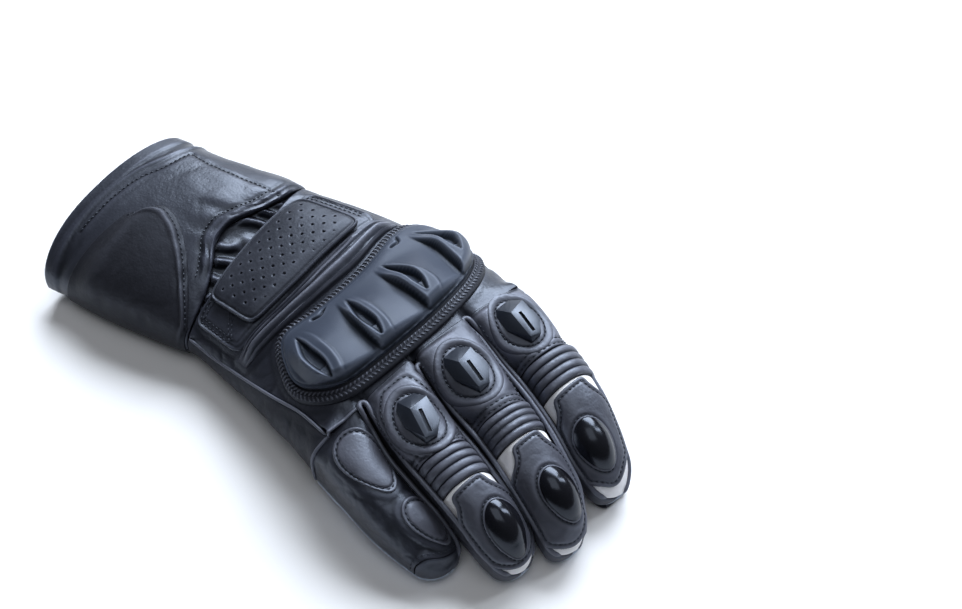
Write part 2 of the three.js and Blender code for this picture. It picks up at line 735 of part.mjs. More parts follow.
// A round or oval piece on a finger's back, drawn in plan around a centre. height(r) is the
// distance off the skin at a share r of the radius; inside is the share where a ring's hole starts.
function oval(tube, { x, y, wide, long, turn = 0, inside = 0, rings = 3, sides = 14 }, seat, height) {
  const lean = radians(turn);
  const place = (u, v, outer) => {
    const r = mix(1, inside, u);
    const angle = v * 2 * Math.PI;
    const [across, ahead] = [r * wide * Math.cos(angle), r * long * Math.sin(angle)];
    const px = x + across * Math.cos(lean) - ahead * Math.sin(lean);
    const py = y + across * Math.sin(lean) + ahead * Math.cos(lean);
    return tube.over(px, py, outer ? height(r) : seat);
  };
  return sheet(rings, sides, place, true);
}

// A faceted guard like a hipped roof: a flat facet at the rear and two long ones beside a ridge.
const GEM = { wide: 14.6, long: 23, height: 5, foot: 0.9 };
function gem() {
  const [w, l] = [GEM.wide / 2, GEM.long / 2];
  const rim = [
    [-w * 0.35, -l],
    [w * 0.55, -l * 0.92],
    [w, -l * 0.35],
    [w * 0.8, l * 0.55],
    [w * 0.1, l],
    [-w * 0.7, l * 0.6],
    [-w, -l * 0.3],
  ];
  const points = rim.flatMap(([x, y]) => [new THREE.Vector3(x, y, 0), new THREE.Vector3(x, y, GEM.foot)]);
  points.push(new THREE.Vector3(0, -l * 0.42, GEM.height));
  points.push(new THREE.Vector3(w * 0.15, l * 0.7, GEM.height * 0.6));
  return new ConvexGeometry(points);
}

// Index, middle and ring finger: bolster and faceted guard, stitched tip panel and dome.
const ARMOUR = {
  index: { gem: [-57.2, 54.2], panel: [2.6, 5.35], dome: [-46.3, 112.2] },
  middle: { gem: [-23, 58.5], panel: [2.6, 5.35], dome: [-18, 119.3] },
  ring: { gem: [7.6, 61.4], panel: [2.48, 5.35], dome: [9.2, 114.3] },
};
const BOLSTER = { wide: 11.2, long: 16, edge: 0.6, height: 3, inside: 0.8, rings: 2 };
const PANEL = { start: 34, stop: 146, narrow: 24 };
const DOME = { wide: 6.5, long: 10.5, edge: 0.8, height: 5.8, turn: -6, sides: 12 };
const bolsterHeight = (r) => {
  const share = (1 - r) / (1 - BOLSTER.inside);
  return SEAT + mix(BOLSTER.edge, BOLSTER.height, Math.sin(Math.PI * share));
};
const domeHeight = (r) => SECOND_SEAT + mix(DOME.edge, DOME.height, Math.sqrt(1 - r * r));
const narrowing = (u) => PANEL.narrow * ease(4 * u - 3); // over the last quarter of the panel
for (const [name, { gem: spot, panel, dome }] of Object.entries(ARMOUR)) {
  const tube = finger[name];
  const { station, angle } = tube.locate(...spot);
  const [x, y] = spot;
  const [domeX, domeY] = dome;
  const panelRegion = {
    ...SEWN_ON,
    from: panel[0],
    to: panel[1],
    start: (u) => PANEL.start + narrowing(u),
    stop: (u) => PANEL.stop - narrowing(u),
  };
  add(`${name}_bolster`, oval(tube, { ...BOLSTER, x, y }, SEAT, bolsterHeight), "black_leather");
  add(`${name}_guard`, onTube(tube, station, angle, SEAT, gem()), "guard_plastic");
  add(`${name}_tip_panel`, wallPiece(tube, 6, 5, panelRegion), "black_leather");
  add(`${name}_dome`, oval(tube, { ...DOME, x: domeX, y: domeY }, SECOND_SEAT, domeHeight), "gloss_plastic");
}

// Little finger: two padded ovals
const LITTLE_PADS = {
  little_pad_root: { x: 35.2, y: 58.5, wide: 8.5, long: 15.5, turn: 4 },
  little_pad_end: { x: 32, y: 90, wide: 6.5, long: 10.5, turn: 12 },
};
const LITTLE_PAD = { edge: 0.8, height: 3 };
const littlePadHeight = (r) => SEAT + mix(LITTLE_PAD.height, LITTLE_PAD.edge, r * r);
for (const [name, spot] of Object.entries(LITTLE_PADS)) {
  add(name, oval(finger.little, spot, SEAT, littlePadHeight), "black_leather");
}

// Patch on the palm side of the index fingertip
const TIP_PATCH = { from: 3.9, to: 5.5, start: 228, stop: 312, outer: SEAT + 1.2, inner: SEAT };
add("index_tip_patch", wallPiece(finger.index, 4, 4, TIP_PATCH), "black_leather");

export default glove;
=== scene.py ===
import itertools
import math

import bmesh
import bpy
import numpy as np
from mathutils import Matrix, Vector
from mathutils.kdtree import KDTree


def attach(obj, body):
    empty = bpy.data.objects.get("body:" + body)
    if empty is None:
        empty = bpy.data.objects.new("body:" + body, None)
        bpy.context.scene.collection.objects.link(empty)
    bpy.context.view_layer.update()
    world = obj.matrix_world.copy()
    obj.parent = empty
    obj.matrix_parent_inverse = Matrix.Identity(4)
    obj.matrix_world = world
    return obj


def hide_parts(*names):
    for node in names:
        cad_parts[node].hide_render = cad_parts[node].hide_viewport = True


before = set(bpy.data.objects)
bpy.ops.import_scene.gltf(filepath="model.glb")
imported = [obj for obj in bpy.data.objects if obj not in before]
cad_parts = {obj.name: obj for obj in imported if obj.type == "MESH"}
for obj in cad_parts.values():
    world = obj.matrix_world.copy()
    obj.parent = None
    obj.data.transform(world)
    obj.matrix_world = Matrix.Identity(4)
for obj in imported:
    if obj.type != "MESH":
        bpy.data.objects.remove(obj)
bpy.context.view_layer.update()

# Right-hand leather motorcycle glove lying palm down. Tables are in millimetres in the pattern's
# frame: +Y toward the fingertips, thumb on -X, +Z up. CENTRE carries them into the part's frame.
# A place on a tube is a station, which is a row number of its table, and an angle in degrees:
# 0 little-finger side, 90 back, 180 thumb side, 270 underneath.
CENTRE = np.array([-0.9, -6.1, 0.0])
WALL = 1.8
SEAT = 0.8  # height over the leather at which the solids' sewn-on pieces start
TRIM = 1.5
SECOND_SEAT = 2 * SEAT + TRIM
FIRST = 0.25  # height at which the dressed sewn-on pieces start, close on the leather
SECOND = SECOND_SEAT - 0.6  # the same for what is sewn on a sewn-on panel

SLEEVE_KEYS = "thumbX thumbY thumbZ littleX littleY littleZ crown sole rest tuck".split()
SLEEVE = [
    (-15, -151, 24, 80, -132, 11, 38.5, -2, 2.6, 0),
    (-26, -122, 24, 70, -99, 11, 41.5, -2, 2.6, 0),
    (-39, -92, 25, 56, -65, 11, 40, -1, 2.6, 0),
    (-43, -81, 25, 51, -53, 12, 36, 1, 2.6, 0),
    (-49, -66, 26, 49, -38, 12, 39, 5, 7, 1),
    (-60, -38, 27, 48, -14, 14, 42, 7, 7, 7),
    (-68, -12, 26, 49, 4, 15, 44, 9, 7, 10),
    (-73.5, 14, 27.5, 49, 20, 16, 48, 10, 7, 8),
    (-73.5, 38, 30, 49, 38, 17, 49.5, 10, 7, 0),
]
SLEEVE_ROUND = 2.3
CAP = 9  # length of a fingertip's rounded end
FINGER_KEYS = "y x half back sole round tilt".split()
FINGERS = {
    "index": {
        "rest": 2,
        "tip": (-45.5, 8),
        "rows": [
            (38.5, -57.3, 16, 46, 14, 6, 6),
            (56, -57, 15.3, 45, 10, 2.8, 1),
            (78, -56, 15.3, 41.5, 4, 2.4, 0),
            (98, -53, 15, 36.5, 0, 2.3, 0),
            (113, -49, 14.5, 29, -1, 2.2, 0),
            (124, -46.5, 12.5, 21, -1, 2.2, 0),
        ],
    },
    "middle": {
        "rest": 0,
        "tip": (-13, 8),
        "rows": [
            (38.5, -25.2, 15.6, 49.5, 10, 6, 0),
            (60, -23.5, 15.2, 47, 7, 2.7, 0),
            (83, -22, 14.8, 43, 3, 2.4, 0),
            (103, -19.5, 14.5, 37, 0, 2.3, 0),
            (120, -16.5, 14, 29, -2, 2.2, 0),
            (130, -13.5, 12.5, 21, -2, 2.2, 0),
        ],
    },
    "ring": {
        "rest": 0,
        "tip": (10, 8),
        "rows": [
            (38.5, 5, 13.9, 45.5, 9, 6, -6),
            (62, 8.4, 14, 43, 5, 2.7, -1),
            (85, 9, 13.8, 39.5, 2, 2.4, 0),
            (103, 9.3, 13.3, 34, -1, 2.3, 0),
            (115, 9.8, 13, 27, -2, 2.2, 0),
            (122, 10, 12, 21, -2, 2.2, 0),
        ],
    },
    "little": {
        "rest": 0,
        "tip": (32.6, 7),
        "rows": [
            (38.5, 34.4, 14.4, 36, 6, 5, -11),
            (58, 37, 13.2, 35, 1, 2.6, -2),
            (76, 37.2, 13, 31, -1, 2.4, 0),
            (90, 35.8, 12.4, 26, -2, 2.3, 0),
            (101, 34, 11.4, 19, -2, 2.2, 0),
        ],
    },
    "thumb": {
        "rest": 0,
        "tip": (-68, 8),
        "rows": [
            (-46, -46, 15, 30, 5, 2.4, 0),
            (-28, -58, 15.5, 25, 1, 2.4, 0),
            (-10, -67, 15, 22, -2, 2.4, 0),
            (8, -70, 14, 21, -2, 2.4, 0),
            (22, -70, 13, 19, -2, 2.3, 0),
        ],
    },
}


# Small functions on numbers and arrays


def mix(a, b, share):
    return a + (b - a) * share


def ease(x):
    x = np.clip(x, 0, 1)
    return x * x * (3 - 2 * x)


def between(x, low, high):
    """0 below low, 1 over high and smooth between them. It falls where low is over high."""
    return ease((x - low) / (high - low))


def ramp(x, low, high):
    """0 below low, 1 over high and straight between them."""
    return np.clip((x - low) / (high - low), 0, 1)


def bump(x, centre, width):
    return np.exp(-(((x - centre) / width) ** 2))


def smooth(values, station):
    """Smooth value of a column of numbers at stations that may lie between two rows."""
    v = np.asarray(values, float)
    last = len(v) - 1
    low = np.clip(np.floor(station), 0, last - 1).astype(int)
    f = station - low
    a, b = v[low], v[low + 1]
    slope_a = np.where(low > 0, (b - v[np.maximum(low - 1, 0)]) / 2, b - a)
    slope_b = np.where(low + 2 <= last, (v[np.minimum(low + 2, last)] - a) / 2, b - a)
    f2 = f * f
    f3 = f2 * f
    ends = (2 * f3 - 3 * f2 + 1) * a + (f3 - 2 * f2 + f) * slope_a
    return ends + (3 * f2 - 2 * f3) * b + (f3 - f2) * slope_b


def along(values, share):
    """Value of a short table at a share from 0 to 1 of its length."""
    return smooth(values, np.asarray(share, float) * (len(values) - 1))


def read(value, at):
    return value(at) if callable(value) else np.full(np.shape(at), float(value))


def unit(vectors):
    return vectors / np.maximum(np.linalg.norm(vectors, axis=-1, keepdims=True), 1e-9)


class Noise:
    """Smooth gradient noise, roughly from -0.7 to 0.7, the same each run."""

    def __init__(self, seed):
        rng = np.random.default_rng(seed)
        self.order = rng.permutation(256)
        self.slopes = unit(rng.normal(size=(256, 3)))

    def __call__(self, points, scale):
        q = points / np.asarray(scale, float)
        cell = np.floor(q).astype(int)
        f = q - cell
        fade = f * f * f * (f * (f * 6 - 15) + 10)
        total = 0
        for corner in itertools.product((0, 1), repeat=3):
            k = (cell + corner) & 255
            pick = self.order[(self.order[(self.order[k[..., 0]] + k[..., 1]) & 255] + k[..., 2]) & 255]
            weight = np.prod(np.where(corner, fade, 1 - fade), axis=-1)
            total = total + weight * (self.slopes[pick] * (f - corner)).sum(-1)
        return total


soft_noise = Noise(5)
crease_noise = Noise(11)


def creases(points, scale, width=0.07):
    """1 on a network of thin curved lines and 0 away from them."""
    return np.exp(-((crease_noise(points, scale) / width) ** 2))


# The glove's surfaces


class Tube:
    """A soft tube of superellipse sections, as in the part's source. Its rounded end keeps the slope of the
    last two rows."""

    def __init__(self, rows, end=None):
        self.rows = rows
        self.last = len(rows["rest"]) - 1
        self.end = end
        length = rows["thumbY"][-1] - rows["thumbY"][-2]
        self.slopes = {key: (values[-1] - values[-2]) / length for key, values in rows.items()}

    def section(self, station):
        on_rows = np.minimum(station, self.last)
        row = {key: smooth(values, on_rows) for key, values in self.rows.items()}
        if self.end:
            x, z = self.end
            turn = np.clip(station - self.last, 0, 1) * math.pi / 2
            forward = CAP * np.sin(turn)
            middles = {"thumbX": x, "littleX": x, "thumbZ": z, "littleZ": z, "crown": z, "sole": z}
            for key, middle in middles.items():
                row[key] = mix(middle, row[key] + self.slopes[key] * forward, np.cos(turn))
            for key in ("thumbY", "littleY"):
                row[key] = row[key] + forward
        return row

    def skin(self, station, angle):
        station, angle = np.broadcast_arrays(np.asarray(station, float), np.asarray(angle, float))
        row = self.section(station)
        turn = np.radians(angle)
        power = 2 / row["round"]
        across = np.sign(np.cos(turn)) * np.abs(np.cos(turn)) ** power
        lift = np.abs(np.sin(turn)) ** power
        middle = (row["thumbZ"] + row["littleZ"]) / 2
        up = row["crown"] - middle
        down = row["sole"] - middle + row["tuck"] * np.exp(-(((across + 0.6) / 0.4) ** 2))
        z = mix(middle, row["littleZ"], across) + np.where(np.sin(turn) >= 0, up, down) * lift
        share = (across + 1) / 2
        x = mix(row["thumbX"], row["littleX"], share)
        y = mix(row["thumbY"], row["littleY"], share)
        return np.stack([x, y, z], -1)

    def normal(self, station, angle):
        step = 0.02
        most = self.last + (0.97 if self.end else 0)
        at = np.minimum(station, most)
        ahead = self.skin(np.minimum(at + step, most), angle) - self.skin(at - step, angle)
        round_it = self.skin(at, angle + 1) - self.skin(at, angle - 1)
        return unit(np.cross(ahead, round_it))

    def point(self, station, angle, off=0.0):
        """The point that stands off the skin, kept flat where the glove rests and off the table."""
        station, angle, off = np.broadcast_arrays(*(np.asarray(x, float) for x in (station, angle, off)))
        place = self.skin(station, angle) + self.normal(station, angle) * off[..., None]
        rest = self.section(station)["rest"] - off
        place[..., 2] = np.maximum(np.maximum(place[..., 2], rest), 0)
        return place

    def locate(self, x, y):
        """The station and angle on the back that lie under points of the plan."""
        low = np.zeros(np.shape(x))
        high = np.full(np.shape(x), self.last + (0.9 if self.end else 0))
        for _ in range(24):
            station = (low + high) / 2
            row = self.section(station)
            share = np.clip((x - row["thumbX"]) / (row["littleX"] - row["thumbX"]), 0, 1)
            short = mix(row["thumbY"], row["littleY"], share) < y
            low = np.where(short, station, low)
            high = np.where(short, high, station)
        across = share * 2 - 1
        cosine = np.sign(across) * np.abs(across) ** (row["round"] / 2)
        return low, np.degrees(np.arccos(cosine))


def sleeve_tube():
    rows = {key: [row[i] for row in SLEEVE] for i, key in enumerate(SLEEVE_KEYS)}
    rows["round"] = [SLEEVE_ROUND] * len(SLEEVE)
    return Tube(rows)


def finger_tube(name):
    table = FINGERS[name]
    row = {key: np.array([r[i] for r in table["rows"]], float) for i, key in enumerate(FINGER_KEYS)}
    middle = (row["back"] + row["sole"]) / 2
    rows = {
        "thumbX": row["x"] - row["half"],
        "littleX": row["x"] + row["half"],
        "thumbY": row["y"],
        "littleY": row["y"],
        "thumbZ": middle - row["tilt"] / 2,
        "littleZ": middle + row["tilt"] / 2,
        "crown": row["back"],
        "sole": row["sole"],
        "rest": np.full(len(middle), float(table["rest"])),
        "round": row["round"],
        "tuck": np.zeros(len(middle)),
    }
    return Tube(rows, table["tip"])


sleeve = sleeve_tube()
finger = {name: finger_tube(name) for name in FINGERS}


# Grids of places, and what shapes their height


def spaced(length, step, fine):
    """Distances from 0 to a length that are closer together near both ends."""
    *near, last = [share * fine for share in (0, 1, 2.2, 4, 7)]
    room = length - 2 * last
    if room <= step:
        return np.linspace(0, length, max(3, int(length / fine)))
    middle = np.linspace(last, length - last, max(2, math.ceil(room / step) + 1))
    return np.array(near + list(middle) + [length - x for x in reversed(near)])


def run_length(points, axis=0):
    steps = np.linalg.norm(np.diff(points, axis=axis), axis=-1)
    return np.insert(np.cumsum(steps, axis=axis), 0, 0, axis=axis)


class Grid:
    """Rows and columns of places on a tube, with a height over the skin at each."""

    def __init__(self, tube, station, angle, ring=False):
        self.tube = tube
        self.station = station
        self.angle = angle
        self.ring = ring
        self.flat = tube.point(station, angle)
        self.height = np.zeros(station.shape)
        self.shift = np.zeros((*station.shape, 3))  # a further move, where it meets another surface
        along_rows = run_length(self.flat, 0)
        along_columns = run_length(self.flat, 1)
        self.rear = along_rows
        self.front = along_rows[-1:] - along_rows
        self.start = along_columns
        self.stop = along_columns[:, -1:] - along_columns
        self.tree = None

    def edge(self, names="rear front start stop"):
        """Distance to the nearest of the named edges."""
        return np.min([getattr(self, name) for name in names.split()], axis=0)

    def sample(self, step):
        """One in every few places of each row and column, as points on the skin."""
        return self.flat[::step, ::step].reshape(-1, 3)

    def surface(self, off=None):
        return self.tube.point(self.station, self.angle, self.height if off is None else off) + self.shift

    def height_at(self, station, angle):
        """Height over places, from the grid's nearest ones."""
        if self.tree is None:
            self.tree = tree_of(self.flat)
        heights = self.height.ravel()
        found = []
        for place in self.tube.point(station, angle):
            near = self.tree.find_n(place, 4)
            weights = np.array([1 / (distance + 0.05) for _, _, distance in near])
            values = np.array([heights[number] for _, number, _ in near])
            found.append((values * weights).sum() / weights.sum())
        return np.array(found)

    def line(self, side, inset, trim=None):
        """The places at a distance from one edge, trimmed by a distance at both ends."""
        trim = inset if trim is None else trim
        tables = [getattr(self, side), self.station, self.angle]
        if side in ("rear", "front"):
            tables = [table.T for table in tables]
        if side in ("front", "stop"):
            tables = [table[:, ::-1] for table in tables]
        places = np.array([
            (np.interp(inset, distance, station), np.interp(inset, distance, angle))
            for distance, station, angle in zip(*tables)
        ])
        run = run_length(self.tube.point(*places.T))
        kept = (run >= trim) & (run <= run[-1] - trim)
        return places[kept].T


def strip(tube, start, stop, rear, front, step, fine=0.25):
    """A grid between two stations and two angles, which may be functions of a share of the way."""

    def place(u, v):
        return mix(read(rear, v), read(front, v), u), mix(read(start, u), read(stop, u), v)

    share = np.linspace(0, 1, 241)
    sample = np.array([0.1, 0.3, 0.5, 0.7, 0.9])
    run = run_length(tube.skin(*place(share[:, None], sample[None, :])), 0).mean(1)
    u = np.interp(spaced(run[-1], step, fine), run, share)
    runs = run_length(tube.skin(*place(u[:, None], share[None, :])), 1)
    longest = runs[:, -1].max()
    shares = spaced(longest, step, fine) / longest
    v = np.array([np.interp(shares * r[-1], r, share) for r in runs])
    station, angle = place(u[:, None], v)
    grid = Grid(tube, station, angle)
    grid.shares = u, shares
    return grid


def plan_grid(tube, x, y, ring=False):
    station, angle = tube.locate(x, y)
    return Grid(tube, station, angle, ring)


def turned(across, ahead, turn):
    lean = math.radians(turn)
    return (
        across * math.cos(lean) - ahead * math.sin(lean),
        across * math.sin(lean) + ahead * math.cos(lean),
    )


def oval_line(tube, x, y, wide, long, turn=0, point=0):
    """Places round an oval of the plan. point narrows its front end."""
    angle = np.linspace(0, 2 * math.pi, 200)
    ahead = np.sin(angle)
    dx, dy = turned(wide * np.cos(angle) * (1 - point * ahead), long * ahead, turn)
    return tube.locate(x + dx, y + dy)


def disc(tube, x, y, wide, long, turn, point, step):
    """A grid that fills an oval of the plan. share is the share of the oval's radius."""
    rows, columns = 2 * math.ceil(long / step) + 1, 2 * math.ceil(wide / step) + 1
    v = np.sin(np.linspace(-1, 1, rows) * math.pi / 2)[:, None]
    u = np.sin(np.linspace(1, -1, columns) * math.pi / 2)[None, :]
    across = u * np.sqrt(1 - v * v / 2)
    ahead = v * np.sqrt(1 - u * u / 2)
    dx, dy = turned(across * (1 - point * ahead) * wide, ahead * long, turn)
    grid = plan_grid(tube, x + dx, y + dy)
    grid.share = np.hypot(across, ahead)
    grid.shares = np.linspace(0, 1, rows), np.linspace(0, 1, columns)
    return grid


def oval_band(tube, x, y, wide, long, inside, step):
    """A ring of places between an oval of the plan and the same oval at a share of its size."""
    rows = max(6, math.ceil((1 - inside) * (wide + long) / 2 / step))
    columns = math.ceil(math.pi * (wide + long) / step)
    angles = np.linspace(0, -2 * math.pi, columns, endpoint=False)
    share, angle = np.meshgrid(np.linspace(1, inside, rows), angles, indexing="ij")
    grid = plan_grid(tube, x + share * wide * np.cos(angle), y + share * long * np.sin(angle), ring=True)
    grid.share = share
    return grid


def tree_of(points):
    points = points.reshape(-1, 3)
    tree = KDTree(len(points))
    for number, place in enumerate(points):
        tree.insert(place, number)
    tree.balance()
    return tree


def nearest(points, targets):
    """Distance from each point to the nearest target."""
    tree = tree_of(targets)
    distances = [tree.find(place)[2] for place in points.reshape(-1, 3)]
    return np.array(distances).reshape(points.shape[:-1])


def path(tube, places, step=0.5):
    """A smooth line through (station, angle) places, as evenly spaced stations and angles."""
    table = np.array(places, float)
    share = np.linspace(0, 1, 400)
    station, angle = along(table[:, 0], share), along(table[:, 1], share)
    return resampled(tube, station, angle, step)


def resampled(tube, station, angle, step):
    run = run_length(tube.point(station, angle))
    at = np.linspace(0, run[-1], max(2, round(run[-1] / step) + 1))
    return np.interp(at, run, station), np.interp(at, run, angle)


def away(grid, line):
    """Distance from each place of a grid to a line of places."""
    return nearest(grid.flat, grid.tube.point(*line))


def blurred(field, passes):
    for _ in range(passes):
        wide = np.pad(field, 1, mode="edge")
        field = (wide[:-2, 1:-1] + wide[2:, 1:-1] + wide[1:-1, :-2] + wide[1:-1, 2:]) / 4
    return field


def rolled(distance, radius):
    """Drop of a rolled edge at a distance from it."""
    t = np.clip(1 - distance / radius, 0, 1)
    return radius * (1 - np.sqrt(1 - t * t))


def boundary(tube, start, stop, rear, front, radius, step=0.5):
    """The outline of a region with its corners rounded, clockwise from the rear edge's start, and the
    numbers of the places at its four corners."""
    share = np.linspace(0, 1, 121)
    back = share[::-1]
    edges = []
    for u, v in ((0 * share, share), (share, 0 * share + 1), (0 * share + 1, back), (back, 0 * share)):
        station = mix(read(rear, v), read(front, v), u)
        angle = mix(read(start, u), read(stop, u), v)
        edges.append(np.array(resampled(tube, station, angle, step))[:, :-1])
    corners = np.cumsum([0] + [edge.shape[1] for edge in edges])
    line = np.concatenate(edges, axis=1)
    window = np.ones(2 * round(radius / step) + 1)
    ring = np.pad(line, ((0, 0), (len(window), len(window))), mode="wrap")
    for _ in range(2):
        ring = np.array([np.convolve(row, window / len(window), mode="same") for row in ring])
    return ring[:, len(window):-len(window)], corners


def filled(tube, start, stop, rear, front, radius, step, fine=0.25):
    """A grid that fills a region with rounded corners. rim is the distance from its outline."""
    outline, corners = boundary(tube, start, stop, rear, front, radius)
    wrapped = np.append(outline, outline[:, :1], axis=1)
    sides = [wrapped[:, a:b + 1] for a, b in zip(corners[:-1], corners[1:])]
    sides[2:] = [side[:, ::-1] for side in sides[2:]]

    def at(side, share):
        even = np.linspace(0, 1, side.shape[1])
        return np.array([np.interp(share, even, row) for row in side])

    shares = []
    for side, opposite in ((sides[0], sides[2]), (sides[3], sides[1])):
        ends = [tube.skin(*at(line, np.linspace(0, 1, 9))) for line in (side, opposite)]
        span = np.linalg.norm(ends[1] - ends[0], axis=-1).max()
        shares.append(spaced(span, step, fine) / span)
    u, v = shares
    rear_line, stop_line, front_line, start_line = map(at, sides, (v, u, v, u))
    u, v = u[:, None], v[None, :]
    between_rows = mix(rear_line[:, None, :], front_line[:, None, :], u)
    between_columns = mix(start_line[:, :, None], stop_line[:, :, None], v)
    near, far = (mix(line[:, :1, None], line[:, -1:, None], v) for line in (rear_line, front_line))
    grid = Grid(tube, *(between_rows + between_columns - mix(near, far, u)))
    grid.shares = shares
    grid.outline = outline
    grid.rim = away(grid, outline)
    return grid


def beside(tube, line, distance, steps=3):
    """A closed clockwise line of places moved outward over the tube by a distance."""
    station, angle = line
    for _ in range(steps):
        place = tube.skin(station, angle)
        ahead = unit(np.roll(place, -1, axis=0) - np.roll(place, 1, axis=0))
        move = np.cross(tube.normal(station, angle), ahead) * np.reshape(distance, (-1, 1)) / steps
        by_station = (tube.skin(station + 0.01, angle) - place) / 0.01
        by_angle = tube.skin(station, angle + 0.5) - tube.skin(station, angle - 0.5)
        a = (by_station * by_station).sum(-1)
        b = (by_station * by_angle).sum(-1)
        c = (by_angle * by_angle).sum(-1)
        p, q = (move * by_station).sum(-1), (move * by_angle).sum(-1)
        station = station + (c * p - b * q) / (a * c - b * b)
        angle = angle + (a * q - b * p) / (a * c - b * b)
    return np.array([station, angle])


def groove(distance, depth, width):
    """Height of a sunk line at a distance from it."""
    return -depth * np.exp(-((distance / width) ** 2))


# Meshes

FULL_SHADE = 0.35  # height over, or depth under, its surroundings that gives leather its extreme colours: full painted shade in hollows, full lighter colour on ridges


def every(count, skip):
    return np.unique(np.append(np.arange(0, count, skip), count - 1))


def shell_faces(shape, rows, columns, ring):
    """Faces of a closed shell: a fine outer grid, a coarse inner one and the rim between them."""
    n, m = shape

    def outer(i, j):
        return i * m + j % m

    def inner(i, j):
        return n * m + i * len(columns) + j % len(columns)

    last = m if ring else m - 1
    wide = len(columns) if ring else len(columns) - 1
    deep = len(rows) - 1
    faces = [(outer(i, j), outer(i + 1, j), outer(i + 1, j + 1), outer(i, j + 1))
             for i in range(n - 1) for j in range(last)]
    faces += [(inner(i, j), inner(i, j + 1), inner(i + 1, j + 1), inner(i + 1, j))
              for i in range(deep) for j in range(wide)]
    for j in range(wide):
        a = columns[j]
        b = columns[j + 1] if j + 1 < len(columns) else m
        faces.append([outer(0, k) for k in range(a, b + 1)] + [inner(0, j + 1), inner(0, j)])
        faces.append([outer(n - 1, k) for k in range(b, a - 1, -1)] + [inner(deep, j), inner(deep, j + 1)])
    for i in range(0 if ring else deep):
        a, b = rows[i], rows[i + 1]
        faces.append([outer(k, 0) for k in range(b, a - 1, -1)] + [inner(i, 0), inner(i + 1, 0)])
        faces.append([outer(k, m - 1) for k in range(a, b + 1)] + [inner(i + 1, wide), inner(i, wide)])
    return faces


def placed(name, data):
    made = bpy.data.objects.new(name, data)
    bpy.context.scene.collection.objects.link(made)
    return made


def new_object(name, points, faces, look, shade=None, sharp=50):
    """A mesh object from points in the pattern's frame. shade is negative in hollows, where it paints
    shade, and positive on ridges, where it paints a lighter colour.
    """
    mesh = bpy.data.meshes.new(name)
    mesh.from_pydata(((points - CENTRE) / 1000).tolist(), [], faces)
    attribute = mesh.attributes.new("shade", "FLOAT", "POINT")
    if shade is not None:
        values = np.zeros(len(points), np.float32)
        values[:len(shade)] = shade
        attribute.data.foreach_set("value", values)
    mesh.shade_smooth()
    mesh.set_sharp_from_angle(angle=math.radians(sharp))
    mesh.materials.append(look)
    made = placed(name, mesh)
    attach(made, "root")
    return made


def dress(node, grid, look, under=-WALL, fill=None, skip=5, sharp=50, passes=10):
    """Builds a closed shell from a grid's heights, which stands for one CAD node. skip thins its inner
    grid. fill, how soft a padded piece's filling is, is not used."""
    rows = every(grid.station.shape[0], skip)
    columns = every(grid.station.shape[1], skip)
    if grid.ring:
        columns = np.arange(0, grid.station.shape[1], skip)
    pick = np.ix_(rows, columns)
    inner = grid.tube.point(grid.station[pick], grid.angle[pick], under) + grid.shift[pick]
    points = np.concatenate([grid.surface().reshape(-1, 3), inner.reshape(-1, 3)])
    # Painted shade where a place lies below its blurred surroundings, lighter colour where it lies above them
    shade = (grid.height - blurred(grid.height, passes)).ravel() / FULL_SHADE
    faces = shell_faces(grid.station.shape, rows, columns, grid.ring)
    made = new_object(node + "_dressed", points, faces, look, np.clip(shade, -1, 1), sharp)
    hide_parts(node)


# Cloth simulation of a padded piece: its cover is held at the rim and blown up from below

SIM_SCALE = 0.02  # metres of simulated cloth for a millimetre of leather
SIM_FRAMES = 20


def blown_up(coarse, most, pressure=4.0, slack=0.06):
    """Heights that a padded cover takes over a coarse grid, up to most."""
    n, m = coarse.flat.shape[:2]
    mesh = bpy.data.meshes.new("cover")
    corners = [i * m + j for i in range(n - 1) for j in range(m - 1)]
    faces = [(k, k + m, k + m + 1, k + 1) for k in corners]
    mesh.from_pydata((coarse.flat.reshape(-1, 3) * SIM_SCALE).tolist(), [], faces)
    cover = placed("cover", mesh)
    rim = [i * m + j for i in range(n) for j in range(m) if i in (0, n - 1) or j in (0, m - 1)]
    cover.vertex_groups.new(name="rim").add(rim, 1.0, "REPLACE")
    cloth = cover.modifiers.new("cloth", "CLOTH")
    settings = cloth.settings
    settings.quality = 6
    settings.mass = 0.25
    settings.tension_stiffness = 12
    settings.compression_stiffness = 12
    settings.shear_stiffness = 6
    settings.bending_stiffness = 0.4
    settings.air_damping = 2
    settings.vertex_group_mass = "rim"
    settings.use_pressure = True
    settings.uniform_pressure_force = pressure
    settings.shrink_min = -slack
    settings.effector_weights.gravity = 0
    cloth.collision_settings.use_collision = False
    cloth.point_cache.frame_start = 1
    cloth.point_cache.frame_end = SIM_FRAMES
    scene = bpy.context.scene
    for number in range(1, SIM_FRAMES + 1):
        scene.frame_set(number)
    shape = cover.evaluated_get(bpy.context.evaluated_depsgraph_get()).data
    moved = np.zeros(n * m * 3)
    shape.vertices.foreach_get("co", moved)
    moved = moved.reshape(n, m, 3) / SIM_SCALE - coarse.flat
    scene.frame_set(1)
    bpy.data.objects.remove(cover)
    height = (moved * coarse.tube.normal(coarse.station, coarse.angle)).sum(-1)
    return np.clip(height, 0, most)


def swollen(grid, cover, most, **force):
    """Heights of a padded piece over its grid, from the simulation of its coarse cover."""
    height = blown_up(cover, most, **force)
    across = np.array([np.interp(grid.shares[1], cover.shares[1], row) for row in height])
    return np.array([np.interp(grid.shares[0], cover.shares[0], column) for column in across.T]).T


# Stitches and piping, gathered here and built as a few pieces at the end

STITCH = {"length": 1.9, "pitch": 2.6, "radius": 0.34, "arch": 0.2}
ROUND_STITCH = [(-1, 0.25), (-0.75, 0.8), (0, 1), (0.75, 0.8), (1, 0.25)]  # share of length, of radius
stitch_rows = {}
pipes = {}


